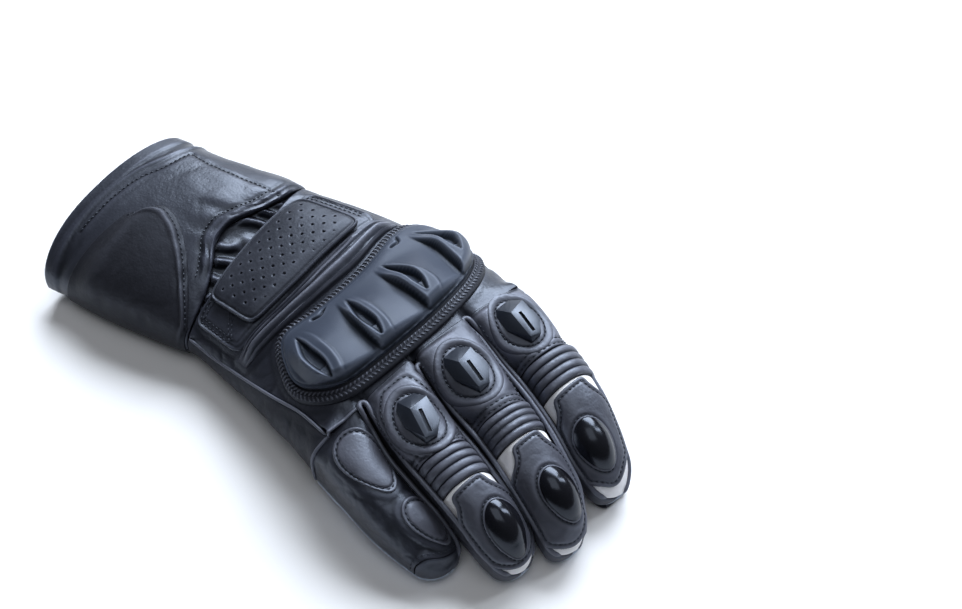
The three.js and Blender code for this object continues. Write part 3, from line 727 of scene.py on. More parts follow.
def sew(group, grid, line, off=0.0, slant=0, **size):
    """Adds a row of stitches along a line of places. slant turns each stitch across the line, in degrees."""
    pitch, length, radius = (size.get(key, STITCH[key]) for key in ("pitch", "length", "radius"))
    station, angle = line
    run = run_length(grid.tube.point(station, angle))
    at = np.arange(pitch / 2, run[-1], pitch)
    if len(at) < 2:
        return
    station, angle = np.interp(at, run, station), np.interp(at, run, angle)
    up = grid.tube.normal(station, angle)
    centres = grid.tube.point(station, angle, grid.height_at(station, angle) + off)
    ahead = unit(np.gradient(centres, axis=0))
    side = np.cross(up, ahead)
    lean = math.radians(slant)
    ahead = ahead * math.cos(lean) + side * math.sin(lean)
    stitch_rows.setdefault(group, []).append((centres, ahead, up, length, radius))


def sewn_patch(node, grid, look, inset, sunk=(0.4, 0.7), roll=0.8, edges="rear front start stop", **how):
    """Finishes a piece that is sewn on along its edges. sunk is the depth and width of the stitched line."""
    edge = grid.edge()
    grid.height += groove(edge - inset, *sunk) - rolled(edge, roll)
    dress(node, grid, look, FIRST, **how)
    for side in edges.split():
        sew("stitches_palm", grid, grid.line(side, inset))


def ring_faces(base, count, sides):
    """Faces of a closed cord whose rings of points are numbered from base."""
    faces = []
    for low in range(base, base + (count - 1) * sides, sides):
        high = low + sides
        for j in range(sides):
            k = (j + 1) % sides
            faces.append((low + j, low + k, high + k, high + j))
    last = base + (count - 1) * sides
    return faces + [range(base + sides - 1, base - 1, -1), range(last, last + sides)]


def stitch_mesh(rows, sides=6):
    """One rounded, slightly arched thread for each stitch of the rows."""
    turn = np.arange(sides) * 2 * math.pi / sides
    points, faces = [], []
    for centres, ahead, up, length, thick in rows:
        side = np.cross(up, ahead)
        for c, t, n, b in zip(centres, ahead, up, side):
            base = len(points)
            for share, girth in ROUND_STITCH:
                arch = STITCH["arch"] * (1 - 2 * share * share)
                radius = thick * girth
                middle = c + t * share * length / 2 + n * arch
                points.extend(middle + radius * (np.cos(w) * b + np.sin(w) * n) for w in turn)
            faces += ring_faces(base, len(ROUND_STITCH), sides)
    return np.array(points), faces


def pipe(group, points, up, radius, sides=8, taper=2.0):
    """Adds a round cord along points, thinner within a distance of its two ends."""
    ahead = unit(np.gradient(points, axis=0))
    side = unit(np.cross(up, ahead))
    up = np.cross(ahead, side)
    run = run_length(points)
    girth = radius * np.sqrt(np.clip(np.minimum(run, run[-1] - run) / taper, 0.15, 1))[:, None, None]
    turn = (np.arange(sides) * 2 * math.pi / sides)[None, :, None]
    rings = points[:, None] + girth * (np.cos(turn) * side[:, None] + np.sin(turn) * up[:, None])
    pipes.setdefault(group, []).append(rings)


def pipe_on(group, tube, line, radius, off, **more):
    pipe(group, tube.point(*line, off), tube.normal(*line), radius, **more)


def pipe_mesh(cords):
    points, faces = [], []
    for rings in cords:
        faces += ring_faces(sum(len(p) for p in points), *rings.shape[:2])
        points.append(rings.reshape(-1, 3))
    return np.concatenate(points), faces


# Materials

BLOTCH = {"Scale": 45, "Detail": 5}
WANDER = (-0.06, 0.08)  # how far the roughness goes below and above its mean


def material(name, base, hollow, ridge, rough, bumps, slot=None, blotch=0.25, **sockets):
    """A procedural finish. hollow is its colour in grooves, a painted shade, and ridge its colour on raised
    edges, lighter as wear and as a painted highlight. bumps is a list of (texture, size in mm, height in
    mm). Roughness and tone wander with large soft blotches."""
    made = bpy.data.materials.new(name)
    made.use_nodes = True
    tree = made.node_tree
    shader = tree.nodes["Principled BSDF"]
    link = tree.links.new

    def fill_in(node, values):
        for socket, value in values.items():
            node.inputs[socket.replace("_", " ")].default_value = value

    def added(kind, **values):
        node = tree.nodes.new("ShaderNode" + kind)
        fill_in(node, values)
        return node

    place = added("TexCoord").outputs["Object"]
    shade = added("Attribute")
    shade.attribute_name = "shade"
    level = added("MapRange", From_Min=-1, From_Max=1)
    link(shade.outputs["Fac"], level.inputs["Value"])
    # Painted shade in hollows and a lighter colour on ridges, as wear and painted highlight, from the shade
    # attribute
    colours = added("ValToRGB")
    link(level.outputs["Result"], colours.inputs["Fac"])
    stops = colours.color_ramp.elements
    stops[0].color = (*hollow, 1)
    stops[1].color = (*ridge, 1)
    stops.new(0.5).color = (*base, 1)

    blotches = added("TexNoise", **BLOTCH)
    link(place, blotches.inputs["Vector"])
    tone = added("MapRange", To_Min=1 - blotch, To_Max=1 + blotch)
    link(blotches.outputs["Fac"], tone.inputs["Value"])
    toned = added("VectorMath")
    toned.operation = "SCALE"
    link(colours.outputs["Color"], toned.inputs[0])
    link(tone.outputs["Result"], toned.inputs["Scale"])
    link(toned.outputs["Vector"], shader.inputs["Base Color"])

    smoothest, roughest = (rough + change for change in WANDER)
    polish = added("MapRange", From_Min=0.3, From_Max=0.7, To_Min=smoothest, To_Max=roughest)
    link(blotches.outputs["Fac"], polish.inputs["Value"])
    link(polish.outputs["Result"], shader.inputs["Roughness"])

    normal = None
    for texture, size, height in bumps:
        if texture == "cells":
            pattern = added("TexVoronoi", Scale=1000 / size)
            pattern.feature = "SMOOTH_F1"
            out = pattern.outputs["Distance"]
        else:
            pattern = added("TexNoise", Detail=4, Scale=1000 / size)
            out = pattern.outputs["Fac"]
        link(place, pattern.inputs["Vector"])
        relief = added("Bump", Distance=height / 1000)
        link(out, relief.inputs["Height"])
        if normal:
            link(normal, relief.inputs["Normal"])
        normal = relief.outputs["Normal"]
    if normal:
        link(normal, shader.inputs["Normal"])
    fill_in(shader, sockets)
    return made


GRAIN = [("cells", 1.3, 0.07), ("noise", 0.7, 0.05), ("noise", 9, 0.3)]
BLUE_SHEEN = (0.72, 0.82, 1.0, 1)


def leather(name, base, hollow, ridge, rough, shine):
    return material(name, base, hollow, ridge, rough, GRAIN, "black_leather",
                    Specular_IOR_Level=shine, Specular_Tint=BLUE_SHEEN)


def plastic(name, slot, base, hollow, ridge, rough, bumps, shine, blotch):
    return material(name, base, hollow, ridge, rough, bumps, slot, blotch,
                    Specular_IOR_Level=shine, Specular_Tint=BLUE_SHEEN)


# Colours on the flat, in hollows as painted shade and on ridges as wear and painted highlight, then roughness
# and specular level
black = leather("black leather", (0.016, 0.017, 0.024), (0.003, 0.003, 0.005), (0.04, 0.043, 0.06), 0.4, 0.62)
supple = leather("supple black leather", (0.042, 0.043, 0.056), (0.006, 0.006, 0.009), (0.09, 0.094, 0.12),
                 0.46, 0.85)
# Lighter than black leather as painted fill light: the fourchettes lie in shade between the fingers
stretch_painted_fill = leather("black stretch leather", (0.045, 0.047, 0.06), (0.01, 0.01, 0.014), (0.08, 0.083, 0.1),
                  0.5, 0.6)
# Darker than black leather, partly for its matte finish and partly as painted shade on the cuff flap and the
# hand's outer side, which face away from the window, and in the guard border's stitch gaps
matte_with_painted_shade = leather("matte black leather", (0.012, 0.012, 0.016), (0.004, 0.004, 0.006), (0.04, 0.042, 0.054),
                0.55, 0.34)
punched_leather = leather("perforated black leather", (0.015, 0.016, 0.022), (0.002, 0.002, 0.003),
                          (0.06, 0.064, 0.085), 0.47, 0.48)
grey = material("grey leather", (0.33, 0.39, 0.49), (0.14, 0.17, 0.23), (0.42, 0.48, 0.58), 0.55, GRAIN,
                "grey_leather", 0.15)
white = material("white leather", (0.8, 0.8, 0.83), (0.5, 0.51, 0.55), (0.88, 0.88, 0.9), 0.5, GRAIN,
                 "white_leather", 0.08)
slate = plastic("slate moulded plastic", "guard_plastic", (0.034, 0.042, 0.062), (0.006, 0.008, 0.012),
                (0.09, 0.105, 0.14), 0.46, [("noise", 0.5, 0.03), ("noise", 14, 0.08)], 0.32, 0.12)
gloss_slate = plastic("satin slate plastic", "guard_plastic", (0.008, 0.01, 0.016), (0.004, 0.005, 0.007),
                      (0.03, 0.035, 0.05), 0.36, [("noise", 0.5, 0.02), ("noise", 8, 0.06)], 0.8, 0.12)
gloss = plastic("gloss black plastic", "gloss_plastic", (0.004, 0.004, 0.006), (0.002, 0.002, 0.003),
                (0.01, 0.01, 0.012), 0.18, [("noise", 3, 0.05), ("noise", 9, 0.12)], 0.42, 0.2)
# Its ridge colour, about seven times its flat colour, paints glints on the gather's pucker tops
elastic = plastic("elastic", "elastic", (0.007, 0.007, 0.01), (0.001, 0.001, 0.002), (0.05, 0.055, 0.075),
                  0.35, [("noise", 0.5, 0.08), ("noise", 3, 0.2)], 0.5, 0.25)
thread = material("black thread", (0.012, 0.013, 0.019), (0.01, 0.01, 0.014), (0.02, 0.022, 0.03), 0.45,
                  [("noise", 0.25, 0.06)], Specular_Tint=BLUE_SHEEN)


# Height, size and place in the noise of each layer of folds, and the width of its creases
SWELLS = [(1.5, 40, 0), (0.6, 15, 70)]
CREASES = [(0.32, 21, 0, 0.07), (0.16, 8, 33, 0.09)]


def folds(grid, amount=1.0, net=1.0):
    """Soft swells and a net of fine creases over leather."""
    swell = sum(height * soft_noise(grid.flat + move, size) for height, size, move in SWELLS)
    fine = sum(height * creases(grid.flat + move, size, width) for height, size, move, width in CREASES)
    return amount * (swell - net * fine)


# Regions of the pieces, as stations and angles. They are close to those of the part's source.

CUFF_SEAM, HEEL_SEAM, KNUCKLE_SEAM = 2.8, 4.6, 8
SEAM = 0.012  # half of a cross seam's gap, in stations
CUFF = (-5, 184.6)
PALM = (185.4, 322.6)
OUTER_SEAM = [17, 15, 21, 29, 34, 36]


def cuff_front(angle):
    return CUFF_SEAM - 0.88 * bump(angle, 91, 25)


def cuff_end(angle):
    return -0.17 * bump(angle, 80, 55)


def hand_rear(angle):
    return CUFF_SEAM + 0.04 + 0.14 * bump(angle, 95, 32)


def table_or_value(value):
    return (lambda share: along(value, share)) if isinstance(value, list) else value


def region(start, stop, rear, front):
    """Edges of a panel. Each is a number or a short table over the panel's length or width."""
    edges = {"start": start, "stop": stop, "rear": rear, "front": front}
    return {name: table_or_value(value) for name, value in edges.items()}


PAD_BASE = region(34, 143, [2.92, 2.95, 3.02, 3.1, 3.35, 3.5], [4.58, 4.66, 4.8, 4.88, 4.92, 5.0])
PAD = region(55, 130, [3.0, 2.95, 3.0, 3.1, 3.25, 3.5], [4.58, 4.68, 4.77, 4.83, 4.87, 4.89])
ROLL = region(30, 149, [4.62, 4.67, 4.83, 4.91, 4.95, 5.04], [4.86, 5.02, 5.24, 5.42, 5.34, 5.3])
GUARD = region(45, 174, [6.35, 5.3, 5.48, 5.65, 5.73, 5.68, 5.58, 5.53, 5.55, 5.66, 5.9],
               [6.75, 7.42, 7.58, 7.62, 7.62, 7.54, 7.42, 7.22, 6.95, 6.58, 6.15])

# Cuff

FLAP = region(-18, [80, 90, 88, 76, 58, 42, 26], [0.36, 0.38, 0.4, 0.42, 0.45, 0.5, 0.6], 2.7)
FLAP_ROW = 2.4  # distance of the stitches from the edge
FLAP_RIDGE = (4.6, 1.5)  # distance from the edge and width of the ridge beside them
flap = strip(sleeve, **FLAP, step=0.8)
flap_cover = strip(sleeve, **FLAP, step=4, fine=2)
swell = swollen(flap, flap_cover, 2.2)
sewn_edge = flap.edge("stop front")
full = between(flap.rear, 0, 16)
beyond_hem = between(flap.rear, 4, 14)
flap.height = 0.9 * (between(sewn_edge, 0, 5) * full) + blurred(swell, 6) * full
flap.height += 0.35 * folds(flap) * between(flap.edge(), 1, 8)
flap.height += beyond_hem * groove(sewn_edge - FLAP_ROW, 0.5, 0.8)
flap.height += 0.8 * bump(sewn_edge, *FLAP_RIDGE) * beyond_hem
flap.height = 0.5 + between(flap.angle, -8, 34) * flap.height - rolled(flap.edge(), 0.2)
# The flap's darker matte leather is partly painted shade, as it faces away from the window
dress("cuff_flap", flap, matte_with_painted_shade, FIRST, fill=0.5)
sew("stitches_cuff", flap, flap.line("stop", FLAP_ROW))

cuff = strip(sleeve, *CUFF, lambda v: cuff_end(mix(*CUFF, v)), lambda v: cuff_front(mix(*CUFF, v)), 0.9)
# Seams as stations and angles
HEM = [(0.05, -5), (0.05, 40), (0.05, 80), (0.12, 95), (0.187, 105.7), (0.341, 121.4), (0.436, 146.9),
       (0.5, 184)]
TOP_STITCH = [(0.17, 60), (0.19, 75), (0.22, 88), (0.306, 100.9), (0.484, 114.5), (0.579, 135.9)]
THUMB_STITCH = [(0.579, 135.9), (0.95, 132), (1.339, 129.6), (2.0, 128), (2.55, 127.1)]
hem, top_stitch, thumb_stitch = (path(sleeve, line) for line in (HEM, TOP_STITCH, THUMB_STITCH))
under_flap = nearest(cuff.flat, flap.sample(4))
free = between(under_flap, 2.5, 7)
inside_hem = between(cuff.rear, 7, 11)
long_folds = soft_noise(np.stack([cuff.rear / 34, cuff.start / 11, 0 * cuff.rear], -1), 1)
broad = 1.6 * soft_noise(cuff.flat, 38) + 0.5 * soft_noise(cuff.flat + 70, 14) - 0.12 * creases(cuff.flat, 24)
cuff.height = free * inside_hem * (broad + 1.9 * long_folds * between(cuff.front, 40, 6))
cuff.height += 0.7 * between(away(cuff, hem), 0, 1.6) * between(cuff.rear, 9, 7) * free
cuff.height += 0.8 * bump(away(cuff, hem), 0, 1.2) * free
for stitched in (top_stitch, thumb_stitch):
    cuff.height += groove(away(cuff, stitched), 0.5, 0.9) * free
FRONT_ROW = 7.4  # distance of the stitches from the front edge
FRONT_SEWN = (62, 128)  # angles between which they show
WELTS = [(1.3, 1.0), (4.3, 1.1)]  # distance from the front edge and width of two welts
WELT_HEIGHT = 0.9
welted = between(cuff.angle, 60, 74) * between(cuff.angle, 150, 138)
cuff.height += welted * sum(WELT_HEIGHT * bump(cuff.front, *welt) for welt in WELTS)
cuff.height += welted * groove(cuff.front - FRONT_ROW, 0.5, 0.8)
cuff.height -= rolled(cuff.edge("rear front"), 1.2) + rolled(cuff.edge("start stop"), 0.9)
dress("cuff_back", cuff, black)
for stitched in (top_stitch, thumb_stitch):
    sew("stitches_cuff", cuff, stitched)
station, angle = cuff.line("front", FRONT_ROW)
seen = (angle > FRONT_SEWN[0]) & (angle < FRONT_SEWN[1])
sew("stitches_cuff", cuff, (station[seen], angle[seen]), pitch=2.3)

STRAP = {
    "start": 222,
    "stop": 322,
    "rear": lambda v: mix(0.35, 1.0, bump(v, 0, 0.12)),
    "front": lambda v: mix(1.75, 1.1, bump(v, 0, 0.12)),
}
strap = strip(sleeve, **STRAP, step=0.9)
strap.height += 2.5
sewn_patch("cuff_strap", strap, grey, 2.5, (0.5, 0.8), 0.9, "rear front")

CUFF_UNDER = (185.4, 354.4)
UNDER_HEM = 8  # distance of the hem's line from the cuff's end
cuff_under = strip(sleeve, *CUFF_UNDER, 0, CUFF_SEAM, 1.2)
clear_of_strap = between(nearest(cuff_under.flat, strap.sample(4)), 2.5, 7)
cuff_under.height = clear_of_strap * folds(cuff_under, 0.7)
cuff_under.height += groove(cuff_under.rear - UNDER_HEM, 0.5, 0.9) * clear_of_strap
cuff_under.height -= rolled(cuff_under.edge(), 1.0)
dress("cuff_palm", cuff_under, black)

# Elastic gather: irregular puckers where it shows between the cuff and the hand

GATHER = {"stations": (1.8, 3.3), "puckers": 17, "height": 3.0, "outside": -3.6, "inside": -4.8}
rows, columns = np.linspace(*GATHER["stations"], 60), np.linspace(0, 360, 480, endpoint=False)
station, angle = np.meshgrid(rows, columns[::-1], indexing="ij")
gather = Grid(sleeve, station[::-1], angle, ring=True)
shown = between(gather.station, cuff_front(gather.angle) - 0.06, cuff_front(gather.angle) + 0.12)
shown *= between(gather.station, hand_rear(gather.angle) + 0.03, hand_rear(gather.angle) - 0.1)
wander = soft_noise(gather.flat, 24)
pucker = np.cos(np.radians(gather.angle) * GATHER["puckers"] + 5 * wander - 2 * gather.station) ** 2
uneven = np.clip(0.75 + 1.2 * soft_noise(gather.flat + 40, 8), 0.2, 1.2)
gather.height = GATHER["outside"] + shown * (GATHER["height"] * pucker**1.6 * uneven + wander)
# The puckers' tops take the elastic's light ridge colour, a painted glint, and their folds painted shade
dress("wrist_gather", gather, elastic, GATHER["inside"], skip=4)

# Back of the hand: base panel, perforated pad, leather roll, border and hard guard

BASE_ROWS = (2.0, 3.9)  # distances of the stitches from the outline
BASE_SEWN = [4.3, 4.5, 4.7, 4.75]  # stations up to which they show, from the base's start to its stop
base = filled(sleeve, **PAD_BASE, radius=4, step=0.8)
base.height += 1.9 + 0.25 * folds(base)
for inset in BASE_ROWS:
    base.height += groove(base.rim - inset, 0.45, 0.6)
base.height += 0.35 * bump(base.rim, 0.9, 0.6) * between(base.front, 2, 8) - rolled(base.rim, 0.9)
base.height -= 1.3 * between(base.front, 5, 0)
dress("back_pad_base", base, black, FIRST)
for inset in BASE_ROWS:
    station, angle = beside(sleeve, base.outline, -inset)
    share = (angle - PAD_BASE["start"]) / (PAD_BASE["stop"] - PAD_BASE["start"])
    seen = station < along(BASE_SEWN, share)
    for kept in (seen & (angle < 90), seen & (angle >= 90)):
        sew("stitches_hand", base, (station[kept], angle[kept]))

HOLES = {"rows": 3.7, "pitch": 6.8, "radius": (0.675, 0.3), "depth": 1.2, "margin": (4.5, 4.7)}


def perforated(grid, from_edge, rows, pitch, radius, depth, margin):
    """Depth of staggered holes in rows across a grid. radius is that of a hole's mouth and of its floor."""
    number = np.round(grid.rear / rows)
    from_row = grid.rear - number * rows
    from_column = (grid.start + (number % 2) * pitch / 2 + pitch / 2) % pitch - pitch / 2
    pit = between(np.hypot(from_row, from_column), *radius)
    return depth * pit * between(from_edge, *margin)


pad = filled(sleeve, **PAD, radius=4.5, step=0.36)
pad_cover = filled(sleeve, **PAD, radius=4.5, step=3.5, fine=1.8)
swell = swollen(pad, pad_cover, 1.5, pressure=2.5, slack=0.01)
pad.height = SECOND_SEAT + 0.9 + blurred(swell, 10) + 0.1 * folds(pad)
pad.height -= perforated(pad, pad.rim, **HOLES)
pad.height = mix(SECOND_SEAT + 0.1, pad.height, between(pad.front, -2, 7))
pad.height += 0.45 * bump(pad.rim, 0.8, 0.5) - 0.35 * bump(pad.rim, 2, 0.6) - rolled(pad.rim, 0.9)
dress("back_pad", pad, punched_leather, SECOND, fill=0.4, skip=8)

# Ridges of the roll: share of its width, height and half width
ROLL_RIDGES = [(0.06, 2.5, 0.06), (0.2, 2.2, 0.055), (0.54, 3.9, 0.2), (0.89, 2.6, 0.07)]
roll = strip(sleeve, **ROLL, step=0.45)
across_roll = roll.rear / (roll.rear + roll.front)
full = between(roll.edge("start stop"), 0, 12)
roll.height += 0.5 + full * (0.5 + 0.25 * folds(roll))
wander = 0.05 * soft_noise(roll.flat, 22)
for share, high, half in ROLL_RIDGES:
    roll.height += full * high * bump(across_roll + wander, share, half)
dress("guard_roll", roll, supple, FIRST, fill=0.7)

# Stitched border: a band round the guard's outline, from under the guard outward
GUARD_CORNER = 6  # radius of the guard's corners
BORDER_UNDER = 2.5  # how far the border runs under the guard
BORDER_WIDTH = (4.6, 6.8)  # how far it shows at the rear and at the front
BORDER_STITCHES = ((1.7, 55), (3.6, -55))  # distance from the guard where the border is of mean width, slant


def ring_between(tube, line, outside, inside, rows):
    """A ring of places between two distances from a closed line."""
    shares = np.linspace(0, 1, rows)
    places = np.array([beside(tube, line, mix(outside, inside, share)) for share in shares])
    grid = Grid(tube, places[:, 0], places[:, 1], ring=True)
    grid.out = mix(outside, inside, shares[:, None]) + np.zeros(grid.station.shape)
    return grid


guard_outline, _ = boundary(sleeve, **GUARD, radius=GUARD_CORNER)
border_width = mix(*BORDER_WIDTH, between(guard_outline[0], 5.6, 7))
border = ring_between(sleeve, guard_outline, border_width, -BORDER_UNDER, 26)
from_outside = border_width - border.out
border.height += 1.0 + 1.1 * between(from_outside, 0, 2.2) + 0.1 * folds(border)
dips = 0.6 * bump(border.out, 0.4, 0.5) + 0.3 * bump(border.out, 2.5, 0.5)
border.height -= dips + rolled(from_outside, 0.6)
# The border's darker matte leather is partly painted shade for its deep stitch gaps
dress("guard_border", border, matte_with_painted_shade, FIRST)
mean_width = math.sqrt(BORDER_WIDTH[0] * BORDER_WIDTH[1])
for out, slant in BORDER_STITCHES:
    line = beside(sleeve, guard_outline, out * border_width / mean_width)
    sew("stitches_border", border, line, pitch=2.1, slant=slant, length=2.5, radius=0.44)

# Hard guard. Its four fins are drawn in plan: x of the crease on the little-finger side and of the
# rim on the thumb side at even steps of y. A vent is drawn the same way, from its tip to its end.
FINS = [
    {
        "y": (-8, 30), "crease": [29, 33, 34.5, 34, 31], "rim": [21.4, 16, 15, 16.2, 20],
        "wall": 5,
        "vent": {"y": (-6, 24.4), "little": [23.7, 25.2, 25.8, 25.5, 24.6],
                 "thumb": [23.7, 20.9, 20, 20.2, 21.8]},
    },
    {
        "y": (-6.4, 34), "crease": [0.5, 1.4, 2.2, 2.5, 1.7], "rim": [-6, -9.9, -11.2, -10, -4.8],
        "wall": 1.1,
        "vent": {"y": (-4.5, 25), "little": [-3.7, -3.1, -2.3, -2.8, -3],
                 "thumb": [-3.7, -6.5, -7.5, -7.4, -5.4]},
    },
    {
        "y": (-8.2, 31.4), "crease": [-22.7, -23.9, -25.3, -26, -26.3], "rim": [-30, -35.9, -40, -39.4, -33],
        "wall": 1.1,
        "vent": {"y": (-7.8, 21), "little": [-26.9, -29.2, -31.4, -31.7, -32.2],
                 "thumb": [-26.9, -33, -36.4, -36.5, -34.2]},
    },
    {
        "y": (-16, 21.4), "crease": [-47.7, -51.6, -53.4, -52.7, -51.7], "rim": [-58, -68, -69.5, -67, -60.5],
        "wall": 1.1,
        "vent": {"y": (-15.3, 11), "little": [-51.6, -57.4, -59.2, -59.5, -60.2],
                 "thumb": [-51.6, -63.2, -66.9, -65.5, -62]},
    },
]
FIN_HEIGHT = 5
FIN_STEP = 0.9  # drop at a fin's rim
FIN_RISE = 17  # length over which a fin rises from the guard's rear
FIN_TOP = 8.5  # height over the leather at which the plan was read
LEAN = (0.49, 0.54)  # the plan shows a point this much further back for each mm that it lies higher
GUARD_FOOT = SECOND_SEAT + 1.1  # height of the guard's flange over the leather
GUARD_BASE = SECOND_SEAT + 2.4
FLANGE = 1.3
SHOULDER = (5, 2.7)  # radius with which the guard rounds over at the rear and at the front
VENT = {"depth": 4.4, "shallow": 0.6, "wall": 0.65, "ledge": 0.4, "ledge_at": 0.72, "lip": 0.3}
NOTCHES = [
    [(2.2, -9.1), (6.4, -6.6), (9.2, -5.4), (12.5, -6.3)],
    [(-45.2, -17), (-43.8, -13.3), (-39.2, -12.6)],
]
NOTCH_DEPTH = 1.5


def at_y(values, span, y):
    return along(values, np.clip((y - span[0]) / (span[1] - span[0]), 0, 1))


def seen_at(x, y, height):
    """Where the plan shows places that lie at a height."""
    return x - LEAN[0] * (height - FIN_TOP), y - LEAN[1] * (height - FIN_TOP)


def from_line(x, y, line):
    """Distance in plan from places to a line of points."""
    plan = np.stack([x, y, np.zeros(x.shape)], -1)
    return nearest(plan, np.pad(line, ((0, 0), (0, 1))))


def vent_sides(vent, y):
    """Middle and half width of a vent, and the share of its length. It is pointed at its tip, round at
    its end."""
    tip, end = vent["y"]
    share = np.clip((y - tip) / (end - tip), 0, 1)
    little, thumb = (along(vent[side], share) for side in ("little", "thumb"))
    return (little + thumb) / 2, (little - thumb) / 2 * np.sqrt(1 - share**8), share


def vent_depth(vent, x, y):
    """Depth of a vent, less its lip. It is deepest along its thumb side, with a ledge in front."""
    tip, end = vent["y"]
    line_y = mix(tip, end, np.sin(np.linspace(0, 1, 240) * math.pi / 2))
    middle, half, _ = vent_sides(vent, line_y)
    outline = np.concatenate([np.stack([middle + sign * half, line_y], -1) for sign in (-1, 1)])
    middle, half, share = vent_sides(vent, y)
    inside = (np.abs(x - middle) < half) & (y > tip) & (y < end)
    edge = np.where(inside, 1, -1) * from_line(x, y, outline)
    toward_thumb = np.clip((middle - x) / np.maximum(half, 0.5), -1, 1) / 2 + 0.5
    floor = mix(VENT["shallow"], 1, toward_thumb) * between(share, -0.05, 0.3)
    floor = floor * (1 - VENT["ledge"] * ramp(share, VENT["ledge_at"], VENT["ledge_at"] + 0.03))
    lip = VENT["lip"] * bump(edge, -0.45, 0.4) * between(share, 0, 0.15)
    return ramp(edge, 0, VENT["wall"]) * VENT["depth"] * floor - lip


guard = filled(sleeve, **GUARD, radius=GUARD_CORNER, step=0.34)
x, y = np.moveaxis(guard.surface(FIN_TOP)[..., :2], -1, 0)
body = np.full(x.shape, GUARD_BASE)
hollow = np.zeros(x.shape)
for number, fin in enumerate(FINS):
    rise = between(y, fin["y"][0] - 1, fin["y"][0] + FIN_RISE)
    foot_x, foot_y = seen_at(x, y, GUARD_BASE)
    top_x, top_y = seen_at(x, y, GUARD_BASE + FIN_HEIGHT * rise)
    following = FINS[number + 1] if number + 1 < len(FINS) else None
    limit = at_y(following["crease"], following["y"], foot_y) if following else np.full(x.shape, -80.0)
    inward = at_y(fin["crease"], fin["y"], foot_y) - foot_x
    rim = at_y(fin["rim"], fin["y"], top_y)
    past = rim - top_x
    slope = np.clip(1 - past / (rim - limit), 0, 1)
    level = FIN_HEIGHT * np.where(past > 0, slope, 1) - FIN_STEP * ramp(past, -0.2, 0.4) * slope
    tile = GUARD_BASE + rise * ramp(inward, 0, fin["wall"]) * level
    body = np.where((inward > 0) & (foot_x > limit), tile, body)
    hollow = hollow + vent_depth(fin["vent"], top_x, top_y)
for notch in NOTCHES:
    places = np.array(notch)
    line = np.stack([along(places[:, axis], np.linspace(0, 1, 30)) for axis in (0, 1)], -1)
    hollow = hollow + NOTCH_DEPTH * ramp(from_line(*seen_at(x, y, GUARD_BASE), line), 1.0, 0.3)
shoulder = mix(*SHOULDER, between(y, 5, 22))
round_over = np.sqrt(1 - (1 - np.clip((guard.rim - FLANGE) / shoulder, 0, 1)) ** 2)
guard.height = mix(GUARD_FOOT, body, round_over) - between(guard.rim, 1.5, 3) * hollow
guard.height = blurred(guard.height, 1) - rolled(guard.rim, 0.6)
dress("knuckle_guard", guard, slate, SECOND, skip=8, sharp=70, passes=6)

# Leather of the hand, which meets the fingers' roots without a step
CROTCH_HEIGHTS = [(-40.5, -9, 19), (44.5, 44, 38)]  # x of the three crotches and the leather's height there
OVER_SEAM = 0.55  # how far the hand's leather reaches over the seam with the fingers


def drawn_to(grid, line, share):
    """Moves that draw a grid's places toward a line that lies across the fingers, each by its share."""
    tree = tree_of(line)
    moves = np.zeros(grid.flat.shape)
    for i, j in np.argwhere(share > 0):
        place = grid.flat[i, j]
        toward = np.array(tree.find(place)[0]) - place
        moves[i, j] = share[i, j] * toward * (1, 0, 1)
    return moves


def root_height(x):
    """Height of the fingers' roots at places across the hand, low between two fingers."""
    heights = [np.interp(x, *CROTCH_HEIGHTS)]
    for name in ("little", "ring", "middle", "index"):
        root = finger[name].skin(0.01, np.arange(0, 181, 1.0))
        heights.append(np.interp(-x, -root[:, 0], root[:, 2], left=0, right=0))
    return np.max(heights, axis=0)


# Spans of x over which the back's leather starts to meet the roots, and the most that it moves down and up
MEETS = {"thumb": (-73, -70), "little": (48.5, 46), "move": (-11, 6)}
PIPED_FROM = 20.5  # x from which the knuckle seam is piped
hand = strip(sleeve, lambda u: along(OUTER_SEAM, u), CUFF[1], lambda v: hand_rear(mix(17, CUFF[1], v)),
             KNUCKLE_SEAM - SEAM, 0.9)
sewn_on = np.concatenate([grid.sample(4) for grid in (base, roll, border)])
from_trim = nearest(hand.flat, sewn_on)
hand.height = between(from_trim, 2, 6) * folds(hand, 1.0) - 0.35 * bump(from_trim, 3, 1.5)
hand.height *= between(hand.front, 0, 4)
hand.height -= rolled(hand.rear, 0.9) + rolled(hand.edge("start stop"), 0.7)
hand.shift[..., 1] = OVER_SEAM * between(hand.front, 3, 0)
surface = hand.surface()
across, _, high = np.moveaxis(surface, -1, 0)
meets = between(hand.front, 9, 0) * between(across, *MEETS["thumb"]) * between(across, *MEETS["little"])
hand.shift[..., 2] = meets * np.clip(root_height(across) - high, *MEETS["move"])
dress("hand_back", hand, black)

side = strip(sleeve, -37, lambda u: along(OUTER_SEAM, u) - 0.9, CUFF_SEAM + 0.04, KNUCKLE_SEAM - SEAM, 0.9)
side.height = folds(side, 0.9) * between(side.edge(), 1, 6)
side.height -= rolled(side.edge("rear start stop"), 0.9)
little_root = finger["little"].skin(0.01, np.arange(-80, 89.6, 0.5))
side.shift = drawn_to(side, little_root, between(side.front, 12, 0))
side.shift[..., 1] = OVER_SEAM * between(side.front, 3, 0)
